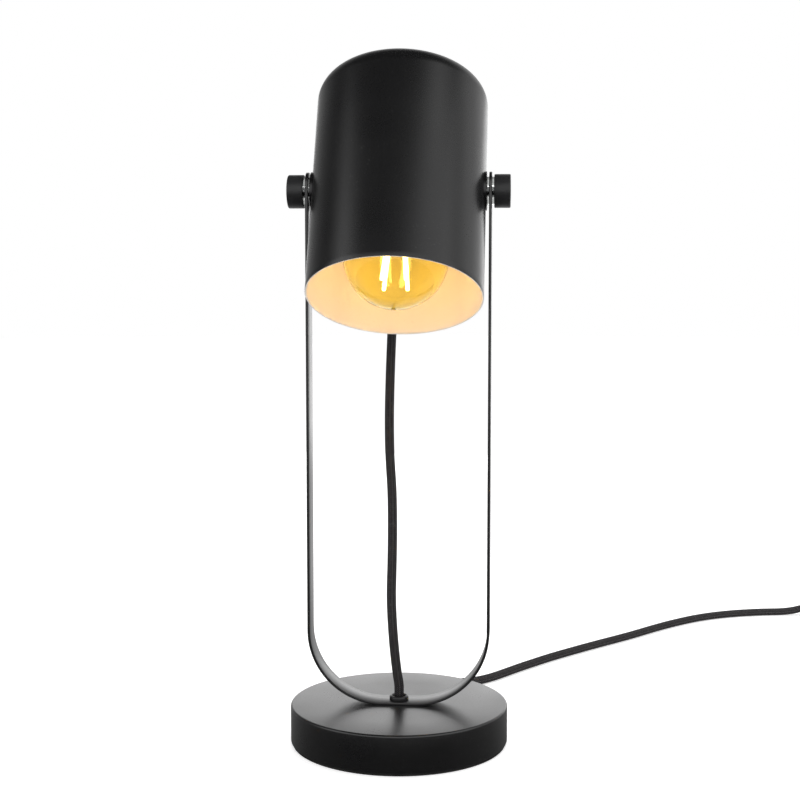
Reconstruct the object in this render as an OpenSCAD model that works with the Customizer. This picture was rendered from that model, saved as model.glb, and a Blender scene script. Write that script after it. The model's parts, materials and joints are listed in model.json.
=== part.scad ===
// Tabletop searchlight lamp: a deep can shade that tilts in a U-shaped flat bar on a round foot.
// Frame: +Z up, the bar's pivot axis along X, the shade's open end towards -Y.
// Origin: middle of the foot's underside.

/* [Foot] */
// Diameter of the foot
base_d = 160; // [140:1:200]
// Height of the foot's top above the table
base_h = 29; // [28:1:40]
// Wall of the spun cover
cover_t = 1.6; // [1.2:0.1:2.4]
// Radius of the cover's top edge
base_edge_r = 1.6; // [0.8:0.1:3]
// Thickness of the pad under the foot
pad_t = 2; // [1.8:0.1:3]
// Set-back of the pad from the cover's edge
pad_inset = 1.2; // [0.6:0.1:4]
// Thickness of the closing plate
plate_t = 1.5; // [1:0.1:2]
// Thickness of the iron weight
weight_t = 14; // [10:0.5:18]

/* [Strap] */
// Width of the flat bar
strap_w = 20; // [14:1:24]
// Thickness of the flat bar
strap_t = 2; // [1.5:0.1:3]
// Inner radius of the two lower bends
strap_bend_r = 53; // [20:1:54]
// Height of the pivot axis above the table
pivot_h = 404; // [380:1:440]
// Height of the ears' round centre above the pivot axis
ear_rise = 3.75; // [0:0.25:8]

/* [Shade] */
// Outer diameter of the shade
shade_d = 125; // [118:1:150]
// Distance from the pivot axis to the open rim
rim_reach = 84.3; // [76:0.1:92]
// Distance from the pivot axis to the closed end
end_reach = 86; // [82:1:100]
// Wall of the shade
shade_t = 1.2; // [0.8:0.1:2]
// Outer radius of the closed end's edge
end_edge_r = 16; // [6:1:24]
// Tilt of the shade's axis from straight down, towards -Y
shade_tilt = 27.3; // [0:0.1:60]

/* [Pivot] */
// Diameter of the pivot bolts
bolt_d = 6; // [5:0.5:8]
// Diameter of the flat pads on the shade
pad_d = 27.8; // [22:0.2:34]
// How far a pad's face stands proud of the shade
pad_proud = 0.7; // [0.4:0.1:2]
// Diameter of the clear washers
washer_d = 20.5; // [16:0.5:24]
// Thickness of the clear washers
washer_t = 1.5; // [1:0.1:2.5]
// Diameter of the knobs
knob_d = 24; // [20:0.5:30]
// Length of the knobs
knob_l = 11.6; // [11.6:0.2:18]
// Radius of the knobs' edges
knob_edge_r = 0.9; // [0.4:0.1:2]
// Diameter of the knobs' brass inserts
insert_d = 10; // [9:0.5:12]

/* [Gland] */
// Outer diameter of the threaded nipple in the foot
nipple_d = 12; // [10.6:0.2:14]
// Wall of the bush on the strap, round the nipple
bush_wall = 0.9; // [0.8:0.1:2]
// Height of the bush
bush_h = 3.2; // [3:0.1:6]
// Length of the tapered strain relief behind the foot
relief_l = 24; // [20:1:30]

/* [Lampholder] */
// Outer diameter of the threaded tube that carries the lampholder
tube_d = 10; // [9.6:0.1:12]
// Outer diameter of the lampholder
holder_d = 41; // [39:1:48]
// Height of the cord grip outside the closed end
grip_l = 9; // [8:0.5:14]
// Diameter of the cord grip
grip_d = 14; // [13:0.5:18]

/* [Bulb] */
// Diameter of the globe
globe_d = 75; // [60:1:80]
// Distance from the pivot axis to the globe's middle
globe_reach = 53; // [50:1:56]
// Glass thickness
glass_t = 0.8; // [0.6:0.1:1.2]
// Crest diameter of the screw cap
cap_d = 26.4; // [26:0.1:26.6]
// Diameter of a glowing filament
filament_d = 2.2; // [1.4:0.1:3]

/* [Cord] */
// Diameter of the braided cord
cord_d = 7; // [6:0.1:7]
// Turns in each of the coil's two layers
coil_turns = 2.25; // [2.25:1:3.25]
// Mean radius of the coil's outermost turn
coil_r = 46.5; // [46:0.5:56]
// Thickness of the coil's tie
tie_t = 0.7; // [0.5:0.1:0.9]
// Width of the coil's tie
tie_w = 10; // [6:1:14]

/* [Switch] */
// Length of the in-line switch
switch_l = 58; // [50:1:60]
// Width of the in-line switch
switch_w = 24; // [22:1:30]
// Height of the in-line switch
switch_h = 17; // [16:0.5:20]
// Wall of the switch's housing
switch_t = 1.8; // [1.4:0.1:2.2]
// Swing of the rocker each way
rocker_swing = 7; // [4:1:9]

/* [Plug] */
// Width of the plug across its pins
plug_w = 35.3; // [34:0.1:38]
// Thickness of the plug
plug_t = 13.7; // [12:0.1:16]
// Length of the plug's body
plug_l = 36; // [32:1:44]
// Diameter of a pin
pin_d = 4; // [3.9:0.1:4.1]
// Length of a pin outside the body
pin_l = 19; // [18:0.5:20]
// Distance between the pins
pin_gap = 19; // [17.5:0.5:19.5]

/* [Hidden] */
$fn = 96;

// Clearances
slip = 0.1;       // between pieces that are put together by hand
running = 0.06;   // radial, round a bolt or pin that turns
play = 0.1;       // between flat faces that turn on each other
free = 0.4;       // round what moves in a window or socket
cut = 1;          // how far a cutting shape runs past what it cuts

// Places along the pivot axis, from the shade outwards
shade_r = shade_d / 2;
pad_x = shade_r + pad_proud;
ear_x = pad_x + washer_t + play;
ear_out_x = ear_x + strap_t;
knob_x = ear_out_x + washer_t + play;
knob_end_x = knob_x + knob_l;
insert_l = knob_l - 2.4;
bolt_end_x = knob_x + insert_l - 0.6;
backing_t = 1.5;
backing_x = shade_r - shade_t - backing_t;
bolt_head_h = 4;
bolt_head_af = bolt_d * 10 / 6;

// Foot
cord_r = cord_d / 2;
bore_r = cord_r + 0.6;
cover_in_r = base_d / 2 - cover_t;
weight_r = cover_in_r - 2.4;
weight_top = base_h - cover_t;
weight_low = weight_top - weight_t;
lead_z = pad_t + plate_t + cord_r + 3.1;
lead_way_r = cord_r + 0.6;
lead_way_top = max(lead_z + cord_r + 1, weight_low + 1);
pocket_r = 30;
pocket_top = weight_top - 4;
plate_top = pad_t + plate_t;
post_r = 6;
post_place = weight_r - 14;
post_angles = [30, 150, 270];
screw_d = 4;
screw_head_d = 7;
screw_head_h = 1.4;
strap_top = base_h + strap_t;
bush_top = strap_top + bush_h;
nipple_top = strap_top + bush_h / 2;
washer_low = pocket_top - 1;
nut_h = 5;
nut_low = washer_low - nut_h;
nipple_low = nut_low - 1;
nut_af = nipple_d + 6;
bush_r = nipple_d / 2 + slip + bush_wall;
lead_bend_r = 7;
relief_r = 5.4;
relief_tip_r = cord_r + 0.8;
flange_r = 6.5;
flange_t = 1.5;
flange_seat = sqrt(cover_in_r * cover_in_r - flange_r * flange_r);
relief_y = base_d / 2 + relief_l;

// Shade, along its own axis from the pivot: positive towards the closed end
end_in = end_reach - shade_t;
holder_washer_t = 1.5;
holder_nut_h = 5;
holder_nut_af = tube_d + 4;
tube_low = 50;
tube_high = end_reach + grip_l - 4;
grip_high = end_reach + grip_l;
tube_bore_r = cord_r + 0.5;
holder_r = holder_d / 2;
holder_wall = 2;
holder_low = -1;
holder_split = 33;
insulator_low = 27;
shell_in_r = cap_d / 2 + free;
shell_t = 0.6;
contact_low = 25.9;

// Bulb, on the same axis
globe_r = globe_d / 2;
bulb_tip_high = contact_low - 0.3;
cap_high = 22.6;
cap_low = -2.5;
cap_t = 0.4;
neck_r = cap_d / 2 - cap_t - slip;
shoulder_r = globe_r * 0.66;
shoulder_z = -globe_reach + sqrt(globe_r * globe_r - shoulder_r * shoulder_r);

// Mains side, past the lamp
switch_x = 384;
lead_line_y = 424;
switch_mid_z = switch_h / 2;
window_l = 14.6;
window_w = 10.2;
rocker_z = switch_h - 2;
rocker_l = window_l - 2 * free - 0.6;
rocker_w = window_w - 2 * free;
trunnion_r = 1.2;
switch_screw_x = switch_l / 2 - 8;
switch_screw_y = switch_w / 2 - 5.4;
switch_screw_d = 2.6;
switch_boss_r = 2.6;
cord_tuck = 4;
contact_y = -switch_w / 2 + switch_t + 1.8;
contact_w = 3;
coil_pitch = cord_d + 1.7;
coil_rise = cord_d + 0.5;
coil_low_z = cord_r + tie_t + 0.4;
coil_x = 478;
coil_y = lead_line_y - coil_r;
coil_in_r = coil_r - coil_turns * coil_pitch;
coil_whole = 2 * coil_turns + 0.5;
coil_steps = 24;
coil_sides = 6;
cord_sides = 8;
plug_x = 528;
plug_z = plug_t / 2;
sleeve_l = 10;
sleeve_root = 2;
pin_core_r = pin_d / 2 - 0.5;
sleeve_r = pin_d / 2 - 0.2;

// Hand-chosen route of the cord that hangs behind the shade, from the bush up to the cord grip
pendant_low_route = [
  [0, 0, 42], [-1.3, 0.2, 50], [-3.2, 1.2, 65], [-5, 3.2, 84], [-6.2, 5.8, 106], [-6, 9.3, 131],
  [-6.1, 14, 156], [-7, 20, 183], [-9.2, 27, 210], [-10.3, 34.5, 236], [-10.6, 43, 262],
  [-10.5, 52, 288], [-10.2, 61, 312], [-9.4, 70, 336], [-8.2, 78, 360], [-7, 85, 383],
  [-5.8, 90.5, 405], [-4.6, 94, 425], [-3.4, 96, 445], [-2.2, 96.5, 465], [-1.2, 95.8, 482],
  [-0.7, 91.8, 496], [-0.3, 80.8, 506], [0, 67.5, 508.5], [0, 54.9, 504]];
grip_tip = shade_point([0, 0, grip_high]);
grip_straight = shade_point([0, 0, grip_high + cord_d]);
pendant_route = concat([[0, 0, nipple_top]], pendant_low_route, [grip_straight, grip_tip]);

// Hand-chosen route of the cord on the table, from the strain relief to the switch
mains_floor_route = [
  [0.3, 112, 9.4], [2.5, 121, 8], [8, 130, 6.2], [17, 136.5, 4.6], [28, 140, 3.8], [40, 143, 3.5],
  [54, 150, 3.5], [65, 161, 3.5], [75, 174.5, 3.5], [88, 193, 3.5], [101.5, 211, 3.5],
  [115.5, 229, 3.5], [130, 246, 3.5], [145, 263, 3.5], [160, 279.5, 3.5], [175.5, 296, 3.5],
  [191.5, 313.5, 3.5], [208, 333, 3.5], [224.5, 352, 3.5], [242, 370, 3.5], [261, 387, 3.5],
  [282, 401, 3.5], [305, 411.5, 3.5], [329, 418.5, 3.5], [350, 422.3, 3.6], [361, 423.6, 4.8],
  [371, 424, 7.3]];
mains_route = concat([[0, relief_y, lead_z]], mains_floor_route, [
  [switch_x, lead_line_y, switch_mid_z], [switch_x + cord_tuck, lead_line_y, switch_mid_z]]);
link_route = [
  [switch_x + switch_l - cord_tuck, lead_line_y, switch_mid_z],
  [switch_x + switch_l + 2, lead_line_y, switch_mid_z],
  [450, 424, 7.8], [456, 424, 6.2], [463, 424, 4.9], [coil_x - cord_d, lead_line_y, coil_low_z]];
tail_route = [
  [coil_x + cord_d, lead_line_y, coil_low_z + coil_rise], [493, 424, 11.8], [502, 424, 10.5],
  [511, 424, 8.6], [520, 424, 7.2], [plug_x, lead_line_y, plug_z]];
inner_route = [
  [0, 0, nipple_top], [0, 0, lead_z + lead_bend_r],
  for (a = [30 : 30 : 90]) [0, lead_bend_r * (1 - cos(a)), lead_z + lead_bend_r * (1 - sin(a))],
  [0, relief_y, lead_z]];

// A point given on the shade's own axes, in the lamp's frame
function shade_point(p) = [
  p[0],
  p[1] * cos(shade_tilt) + p[2] * sin(shade_tilt),
  pivot_h - p[1] * sin(shade_tilt) + p[2] * cos(shade_tilt)];

function unit(v) = v / norm(v);
function tangent(path, i) = unit(path[min(i + 1, len(path) - 1)] - path[max(i - 1, 0)]);
function ring(p, t, side, r, n) =
  let (u = unit(cross(side, t)), v = cross(t, u))
  [for (k = [0 : n - 1]) p + r * (cos(360 * k / n) * u + sin(360 * k / n) * v)];
function path_length(path) = len(path) < 2 ? 0
  : let (steps = [for (i = [1 : len(path) - 1]) norm(path[i] - path[i - 1])]) steps * [for (s = steps) 1];

// The coil: in along the lower layer, up in half a turn, out along the upper layer
function coil_radius(u) = u < coil_turns ? coil_r - coil_pitch * u
  : u < coil_turns + 0.5 ? coil_in_r
  : coil_in_r + coil_pitch * (u - coil_turns - 0.5);
function coil_lift(u) = coil_rise * min(1, max(0, (u - coil_turns) / 0.5));
function coil_point(u) = [
  coil_x + coil_radius(u) * sin(360 * u),
  coil_y + coil_radius(u) * cos(360 * u),
  coil_low_z + coil_lift(u)];
coil_path = concat(
  [[coil_x - cord_d, lead_line_y, coil_low_z]],
  [for (k = [0 : coil_whole * coil_steps]) coil_point(k / coil_steps)],
  [[coil_x + cord_d, lead_line_y, coil_low_z + coil_rise]]);

// Least distance between turns of the coil, less the cord, between points half a turn or more apart
coil_gap = min([for (i = [0 : len(coil_path) - 1]) for (j = [i + coil_steps / 2 : 1 : len(coil_path) - 1])
  norm(coil_path[i] - coil_path[j])]) - cord_d;
echo(coil_gap = coil_gap);
echo(pendant_mm = path_length(pendant_route), mains_mm = path_length(mains_route),
  link_mm = path_length(link_route), coil_mm = path_length(coil_path), tail_mm = path_length(tail_route));

// A tube swept along a list of points
module swept_tube(path, r, n, side) {
  points = [for (i = [0 : len(path) - 1]) each ring(path[i], tangent(path, i), side, r, n)];
  walls = [for (i = [0 : len(path) - 2]) for (k = [0 : n - 1])
    let (a = i * n + k, b = i * n + (k + 1) % n) each [[a, a + n, b], [b, a + n, b + n]]];
  first = [for (k = [1 : n - 2]) [0, k, k + 1]];
  start = (len(path) - 1) * n;
  last = [for (k = [1 : n - 2]) [start, start + k + 1, start + k]];
  polyhedron(points, concat(walls, first, last));
}

// What is drawn for the +X side, also mirrored to the -X side
module both_sides() {
  children();
  mirror([1, 0, 0]) children();
}

// A round bar along +X
module bar_x(r, x0, x1) {
  translate([x0, 0, 0]) rotate([0, 90, 0]) cylinder(r = r, h = x1 - x0);
}

// A tube along +Z
module tube_z(r_out, r_in, z0, z1) {
  difference() {
    translate([0, 0, z0]) cylinder(r = r_out, h = z1 - z0);
    translate([0, 0, z0 - cut]) cylinder(r = r_in, h = z1 - z0 + 2 * cut);
  }
}

// A hexagon nut along +Z, by its width across flats
module hex_nut(af, r_in, z0, z1) {
  difference() {
    translate([0, 0, z0]) cylinder(r = af / 2 / cos(30), h = z1 - z0, $fn = 6);
    translate([0, 0, z0 - cut]) cylinder(r = r_in, h = z1 - z0 + 2 * cut);
  }
}

// Outline of a disc, from the axis outwards, with a rounded upper edge
module edged_outline(r, z0, z1, edge) {
  translate([0, z0]) square([r - edge, z1 - z0]);
  translate([0, z0]) square([r, z1 - z0 - edge]);
  translate([r - edge, z1 - edge]) circle(edge);
}

// Things fixed to the shade, drawn on its own axes
module on_shade() {
  translate([0, 0, pivot_h]) rotate([-shade_tilt, 0, 0]) children();
}

// Things on the pivot axis, drawn for the +X side: side is 1 for right and -1 for left
module on_pivot(side) {
  translate([0, 0, pivot_h]) rotate([0, 0, side > 0 ? 0 : 180]) children();
}

module base_cover() {
  color("#161616") difference() {
    rotate_extrude($fn = 180) difference() {
      edged_outline(base_d / 2, pad_t, base_h, base_edge_r);
      translate([0, pad_t - cut]) square([cover_in_r, weight_top - pad_t + cut]);
    }
    translate([0, 0, weight_top - cut]) cylinder(r = nipple_d / 2 + slip, h = cover_t + 2 * cut);
    translate([0, cover_in_r - cut, lead_z]) rotate([-90, 0, 0])
      cylinder(r = relief_r + slip, h = cover_t + 2 * cut);
  }
}

module base_weight() {
  color("#3a3a3c") difference() {
    union() {
      translate([0, 0, weight_low]) cylinder(r = weight_r, h = weight_t);
      for (a = post_angles) rotate([0, 0, a]) translate([post_place, 0, plate_top])
        cylinder(r = post_r, h = weight_low - plate_top + 1);
    }
    translate([0, 0, weight_low - cut]) cylinder(r = pocket_r, h = pocket_top - weight_low + cut);
    translate([-lead_way_r, 0, weight_low - cut])
      cube([2 * lead_way_r, base_d, lead_way_top - weight_low + cut]);
    translate([0, 0, pocket_top - cut])
      cylinder(r = nipple_d / 2 + slip, h = weight_top - pocket_top + 2 * cut);
    for (a = post_angles) rotate([0, 0, a]) translate([post_place, 0, plate_top - cut])
      cylinder(r = screw_d / 2 + slip, h = 12);
  }
}

module base_plate() {
  color("#6e6e70") difference() {
    translate([0, 0, pad_t]) cylinder(r = cover_in_r - slip, h = plate_t);
    for (a = post_angles) rotate([0, 0, a]) translate([post_place, 0, pad_t - cut])
      cylinder(r = screw_d / 2 + slip, h = plate_t + 2 * cut);
  }
}

module base_pad() {
  color("#101010") difference() {
    cylinder(r = base_d / 2 - pad_inset, h = pad_t);
    for (a = post_angles) rotate([0, 0, a]) translate([post_place, 0, -cut])
      cylinder(r = screw_head_d / 2 + 1, h = pad_t + 2 * cut);
  }
}

module plate_screws() {
  color("#b8b8ba") for (a = post_angles) rotate([0, 0, a]) translate([post_place, 0, pad_t]) {
    translate([0, 0, -screw_head_h]) cylinder(r = screw_head_d / 2, h = screw_head_h);
    translate([0, 0, -0.1]) cylinder(r = screw_d / 2, h = 9);
  }
}

module strap() {
  bend_out = strap_bend_r + strap_t;
  flat_x = ear_out_x - bend_out;
  ear_z = pivot_h + ear_rise;
  color("#161616") difference() {
    union() {
      translate([-flat_x, -strap_w / 2, base_h]) cube([2 * flat_x, strap_w, strap_t]);
      both_sides() {
        translate([flat_x, strap_w / 2, base_h + bend_out]) rotate([90, 0, 0]) intersection() {
          difference() {
            cylinder(r = bend_out, h = strap_w, $fn = 180);
            translate([0, 0, -cut]) cylinder(r = strap_bend_r, h = strap_w + 2 * cut, $fn = 180);
          }
          translate([0, -bend_out, 0]) cube([bend_out, bend_out, strap_w]);
        }
        translate([ear_x, -strap_w / 2, base_h + bend_out])
          cube([strap_t, strap_w, ear_z - base_h - bend_out]);
        translate([0, 0, ear_z]) bar_x(strap_w / 2, ear_x, ear_out_x);
      }
    }
    translate([0, 0, base_h - cut]) cylinder(r = nipple_d / 2 + slip, h = strap_t + 2 * cut);
    both_sides() translate([0, 0, pivot_h]) bar_x(bolt_d / 2 + running, ear_x - cut, ear_out_x + cut);
  }
}

module gland_bush() {
  lip = 1.2;
  mouth_r = bore_r + 0.7;
  color("#1c1c1c") rotate_extrude() difference() {
    edged_outline(bush_r, strap_top, bush_top, lip);
    translate([0, strap_top - cut]) square([nipple_d / 2 + slip, nipple_top - strap_top + cut + slip]);
    translate([0, strap_top]) square([mouth_r, bush_h + cut]);
  }
}

module gland_nipple() {
  color("#c9a45a") tube_z(nipple_d / 2, bore_r, nipple_low, nipple_top);
}

module lock_washer() {
  color("#b8b8ba") tube_z(nut_af / 2 + 2, nipple_d / 2 + slip, washer_low, pocket_top);
}

module gland_nut() {
  color("#c9a45a") hex_nut(nut_af, nipple_d / 2 + slip, nut_low, washer_low);
}

module lead_clamp() {
  bar_y = 48;
  bar_w = 8;
  leg_w = 6;
  leg_x = lead_way_r + 1;
  bar_z = lead_z - cord_r - slip;
  color("#1c1c1c") translate([0, bar_y - bar_w / 2, 0]) {
    translate([-leg_x - leg_w, 0, bar_z - 1.8]) cube([2 * (leg_x + leg_w), bar_w, 1.8]);
    both_sides() translate([leg_x, 0, bar_z - 0.5]) cube([leg_w, bar_w, weight_low - bar_z + 0.5]);
  }
}

module rear_bush() {
  back = base_d / 2;
  color("#1c1c1c") translate([0, 0, lead_z]) rotate([-90, 0, 0]) rotate_extrude() difference() {
    union() {
      translate([0, flange_seat - flange_t]) square([flange_r, flange_t]);
      translate([0, flange_seat - 0.2]) square([relief_r, back - flange_seat + 0.4]);
      translate([0, back]) square([flange_r, flange_t]);
      polygon([[0, back + flange_t - 0.2], [relief_r, back + flange_t - 0.2], [relief_tip_r, relief_y],
        [0, relief_y]]);
    }
    translate([0, flange_seat - flange_t - cut])
      square([cord_r + slip, relief_y - flange_seat + flange_t + 2 * cut]);
  }
}

module inner_lead() {
  color("#222222") swept_tube(inner_route, cord_r, cord_sides, [1, 0, 0]);
}

module pendant_lead() {
  color("#222222") swept_tube(pendant_route, cord_r, cord_sides, [1, 0, 0]);
}

module mains_lead() {
  color("#222222") swept_tube(mains_route, cord_r, cord_sides, [0, 0, 1]);
}

module mains_link() {
  color("#222222") swept_tube(link_route, cord_r, cord_sides, [0, 0, 1]);
}

module mains_coil() {
  color("#222222") swept_tube(coil_path, cord_r, coil_sides, [0, 0, 1]);
}

module mains_tail() {
  color("#222222") swept_tube(tail_route, cord_r, cord_sides, [0, 0, 1]);
}

// A rectangle with round corners, about the origin
module rounded_outline(size_x, size_y, corner) {
  square([size_x - 2 * corner, size_y], center = true);
  square([size_x, size_y - 2 * corner], center = true);
  for (sx = [-1, 1]) for (sy = [-1, 1])
    translate([sx * (size_x / 2 - corner), sy * (size_y / 2 - corner)]) circle(corner);
}

module coil_tie() {
  room = 0.3;
  near_y = sqrt(pow(coil_in_r, 2) - pow(tie_w / 2, 2)) - cord_r - room;
  far_y = coil_r - coil_pitch / 2 + cord_r + room;
  low_z = coil_low_z - cord_r - room;
  high_z = coil_low_z + coil_rise + cord_r + room;
  color("#1c1c1c") translate([coil_x - tie_w / 2, coil_y - (near_y + far_y) / 2, (low_z + high_z) / 2])
    rotate([90, 0, 90]) linear_extrude(tie_w) difference() {
      rounded_outline(far_y - near_y + 2 * tie_t, high_z - low_z + 2 * tie_t, 1.5 + tie_t);
      rounded_outline(far_y - near_y, high_z - low_z, 1.5);
    }
}

// Outline of the switch's housing, seen from above
module switch_outline(inset) {
  rounded_outline(switch_l - 2 * inset, switch_w - 2 * inset, 7 - inset);
}

module at_switch() {
  translate([switch_x + switch_l / 2, lead_line_y, 0]) children();
}

// Round ways for the cord through the housing's two ends
module switch_cord_ways() {
  both_sides() translate([0, 0, switch_mid_z])
    bar_x(cord_r + slip, switch_l / 2 - switch_t - cut, switch_l / 2 + cut);
}

// The housing's two screws stand on a diagonal, clear of the cord
module at_switch_screws() {
  for (side = [-1, 1]) translate([side * switch_screw_x, side * switch_screw_y, 0]) children();
}

module switch_base() {
  color("#161616") at_switch() difference() {
    union() {
      difference() {
        linear_extrude(switch_mid_z) switch_outline(0);
        translate([0, 0, switch_t]) linear_extrude(switch_mid_z) switch_outline(switch_t);
      }
      at_switch_screws() cylinder(r = switch_boss_r, h = switch_mid_z);
    }
    switch_cord_ways();
    at_switch_screws() translate([0, 0, -cut])
      cylinder(r = switch_screw_d / 2 + slip, h = switch_mid_z + 2 * cut);
    at_switch_screws() translate([0, 0, -cut]) cylinder(r = switch_screw_d / 2 + 0.9, h = 2.4 + cut);
  }
}

module switch_cover() {
  lug_l = 4;
  lug_t = 2;
  color("#161616") at_switch() difference() {
    union() {
      difference() {
        translate([0, 0, switch_mid_z]) linear_extrude(switch_mid_z) switch_outline(0);
        translate([0, 0, switch_mid_z - cut]) linear_extrude(switch_mid_z - switch_t + cut)
          switch_outline(switch_t);
      }
      at_switch_screws() translate([0, 0, switch_mid_z]) cylinder(r = switch_boss_r, h = switch_mid_z - 1);
      for (side = [-1, 1]) translate([-lug_l / 2, side * (window_w + lug_t) / 2 - lug_t / 2, rocker_z - 3])
        cube([lug_l, lug_t, 4]);
    }
    translate([-window_l / 2, -window_w / 2, rocker_z - 4]) cube([window_l, window_w, 4 + switch_t + cut]);
    translate([0, -window_w / 2 - lug_t - cut, rocker_z]) rotate([-90, 0, 0])
      cylinder(r = trunnion_r + running, h = window_w + 2 * lug_t + 2 * cut);
    switch_cord_ways();
    at_switch_screws() translate([0, 0, switch_mid_z - cut])
      cylinder(r = switch_screw_d / 2 + slip, h = 5.5 + cut);
  }
}

module switch_contacts() {
  color("#c9a45a") at_switch() for (side = [-1, 1]) {
    translate([side * 9 - 3, contact_y, switch_t]) cube([6, contact_w, 5]);
    translate([side * 4.5 - 1, contact_y, switch_t]) cube([2, contact_w, 6.4]);
    translate([side * 9 - 5, contact_y, switch_t]) cube([10, contact_w, 1]);
  }
}

module switch_screws() {
  color("#b8b8ba") at_switch() at_switch_screws() {
    translate([0, 0, 0.8]) cylinder(r = switch_screw_d / 2 + 0.7, h = 1.6);
    translate([0, 0, 2.3]) cylinder(r = switch_screw_d / 2, h = switch_mid_z + 2);
  }
}

module switch_rocker() {
  half = rocker_l / 2;
  color("#202020") at_switch() translate([0, 0, rocker_z]) rotate([0, rocker_swing, 0]) {
    translate([0, rocker_w / 2, 0]) rotate([90, 0, 0]) linear_extrude(rocker_w)
      polygon([[-half, -1.6], [-2, -3], [2, -3], [half, -1.6], [half, 2.3], [2, 2.6], [-2, 2.6],
        [-half, 2.3]]);
    translate([0, -rocker_w / 2 - 2, 0]) rotate([-90, 0, 0]) cylinder(r = trunnion_r, h = rocker_w + 4);
  }
}

module at_plug() {
  translate([plug_x, lead_line_y, 0]) children();
}

module plug_body() {
  half = plug_w / 2;
  neck = cord_r + 2.6;
  color("#161616") at_plug() difference() {
    linear_extrude(plug_t) polygon([[0, -neck], [plug_l * 0.3, -neck - 3.4], [plug_l * 0.66, -half + 1],
      [plug_l * 0.72, -half], [plug_l, -half], [plug_l, half], [plug_l * 0.72, half],
      [plug_l * 0.66, half - 1], [plug_l * 0.3, neck + 3.4], [0, neck]]);
    for (side = [-1, 1]) translate([0, side * pin_gap / 2, plug_z]) {
      bar_x(sleeve_r + slip, plug_l - sleeve_root, plug_l + cut);
      bar_x(pin_core_r + slip, plug_l - 12, plug_l + cut);
    }
  }
}

module plug_pins() {
  color("#c8c8ca") at_plug() for (side = [-1, 1]) translate([0, side * pin_gap / 2, plug_z]) {
    bar_x(pin_core_r, plug_l - 11.8, plug_l + sleeve_l + 0.2);
    bar_x(pin_d / 2, plug_l + sleeve_l, plug_l + pin_l);
  }
}

module plug_sleeves() {
  color("#161616") at_plug() for (side = [-1, 1]) translate([0, side * pin_gap / 2, plug_z]) difference() {
    bar_x(sleeve_r, plug_l - sleeve_root, plug_l + sleeve_l);
    bar_x(pin_core_r + 0.05, plug_l - sleeve_root - cut, plug_l + sleeve_l + cut);
  }
}

module outer_washer(side) {
  color("#e9ece6") on_pivot(side) difference() {
    bar_x(washer_d / 2, ear_out_x, ear_out_x + washer_t);
    bar_x(bolt_d / 2 + free, ear_out_x - cut, ear_out_x + washer_t + cut);
  }
}

module inner_washer(side) {
  color("#e9ece6") on_pivot(side) difference() {
    bar_x(washer_d / 2, pad_x, pad_x + washer_t);
    bar_x(bolt_d / 2 + slip, pad_x - cut, pad_x + washer_t + cut);
  }
}

module shade_shell() {
  color("#161616") on_shade() difference() {
    rotate_extrude($fn = 180) difference() {
      edged_outline(shade_r, -rim_reach, end_reach, end_edge_r);
      intersection() {
        edged_outline(shade_r - shade_t, -rim_reach - cut, end_in, end_edge_r - shade_t);
        translate([0, -rim_reach - cut]) square([shade_r, rim_reach + end_reach]);
      }
    }
    both_sides() bar_x(bolt_d / 2 + slip, shade_r - shade_t - cut, shade_r + cut);
    translate([0, 0, end_in - cut]) cylinder(r = tube_d / 2 + slip, h = shade_t + 2 * cut);
  }
}

// A flat pad whose back fits the round of the shade
module pivot_pad(side) {
  color("#161616") on_pivot(side) rotate([-side * shade_tilt, 0, 0]) difference() {
    bar_x(pad_d / 2, shade_r - 3, pad_x);
    translate([0, 0, -pad_d]) cylinder(r = shade_r + 0.02, h = 2 * pad_d, $fn = 180);
    bar_x(bolt_d / 2 + slip, shade_r - 3 - cut, pad_x + cut);
  }
}

module backing_washer(side) {
  color("#b8b8ba") on_pivot(side) rotate([-side * shade_tilt, 0, 0]) difference() {
    intersection() {
      bar_x(8, backing_x, shade_r);
      translate([0, 0, -10]) cylinder(r = shade_r - shade_t - 0.02, h = 20, $fn = 180);
    }
    bar_x(bolt_d / 2 + slip, backing_x - cut, shade_r);
  }
}

module pivot_bolt(side) {
  color("#b8b8ba") on_pivot(side) {
    bar_x(bolt_d / 2, backing_x - 0.2, bolt_end_x);
    translate([backing_x - bolt_head_h, 0, 0]) rotate([0, 90, 0])
      cylinder(r = bolt_head_af / 2 / cos(30), h = bolt_head_h, $fn = 6);
  }
}

module holder_tube() {
  color("#c9a45a") on_shade() tube_z(tube_d / 2, tube_bore_r, tube_low, tube_high);
}

module holder_nut() {
  color("#c9a45a") on_shade() hex_nut(holder_nut_af, tube_d / 2 + slip,
    end_in - holder_washer_t - holder_nut_h, end_in - holder_washer_t);
}

module holder_washer() {
  color("#b8b8ba") on_shade()
    tube_z(holder_nut_af / 2 + 3, tube_d / 2 + slip, end_in - holder_washer_t, end_in);
}

module holder_cap() {
  neck = tube_d / 2 + 3.5;
  color("#1a1a1a") on_shade() rotate_extrude() difference() {
    polygon([[0, holder_split], [holder_r, holder_split], [holder_r, holder_split + 9],
      [holder_r - 4, holder_split + 14], [neck, holder_split + 19], [neck, holder_split + 27],
      [0, holder_split + 27]]);
    translate([0, holder_split + 16]) square([tube_d / 2 + slip, 12 + cut]);
    translate([0, holder_split - cut]) square([holder_r - 4.2, 11 + cut]);
    translate([0, holder_split]) square([tube_bore_r, 27]);
  }
}

module holder_skirt() {
  color("#1a1a1a") on_shade() rotate_extrude() difference() {
    translate([0, holder_low]) square([holder_r, holder_split - holder_low]);
    translate([0, insulator_low]) square([holder_r - holder_wall, holder_split - insulator_low + cut]);
    translate([0, holder_low - cut])
      square([shell_in_r + shell_t + slip, holder_split - holder_low + 2 * cut]);
  }
}

module holder_shell() {
  color("#c9a45a") on_shade() tube_z(shell_in_r + shell_t, shell_in_r, holder_low + 2, insulator_low);
}

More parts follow.
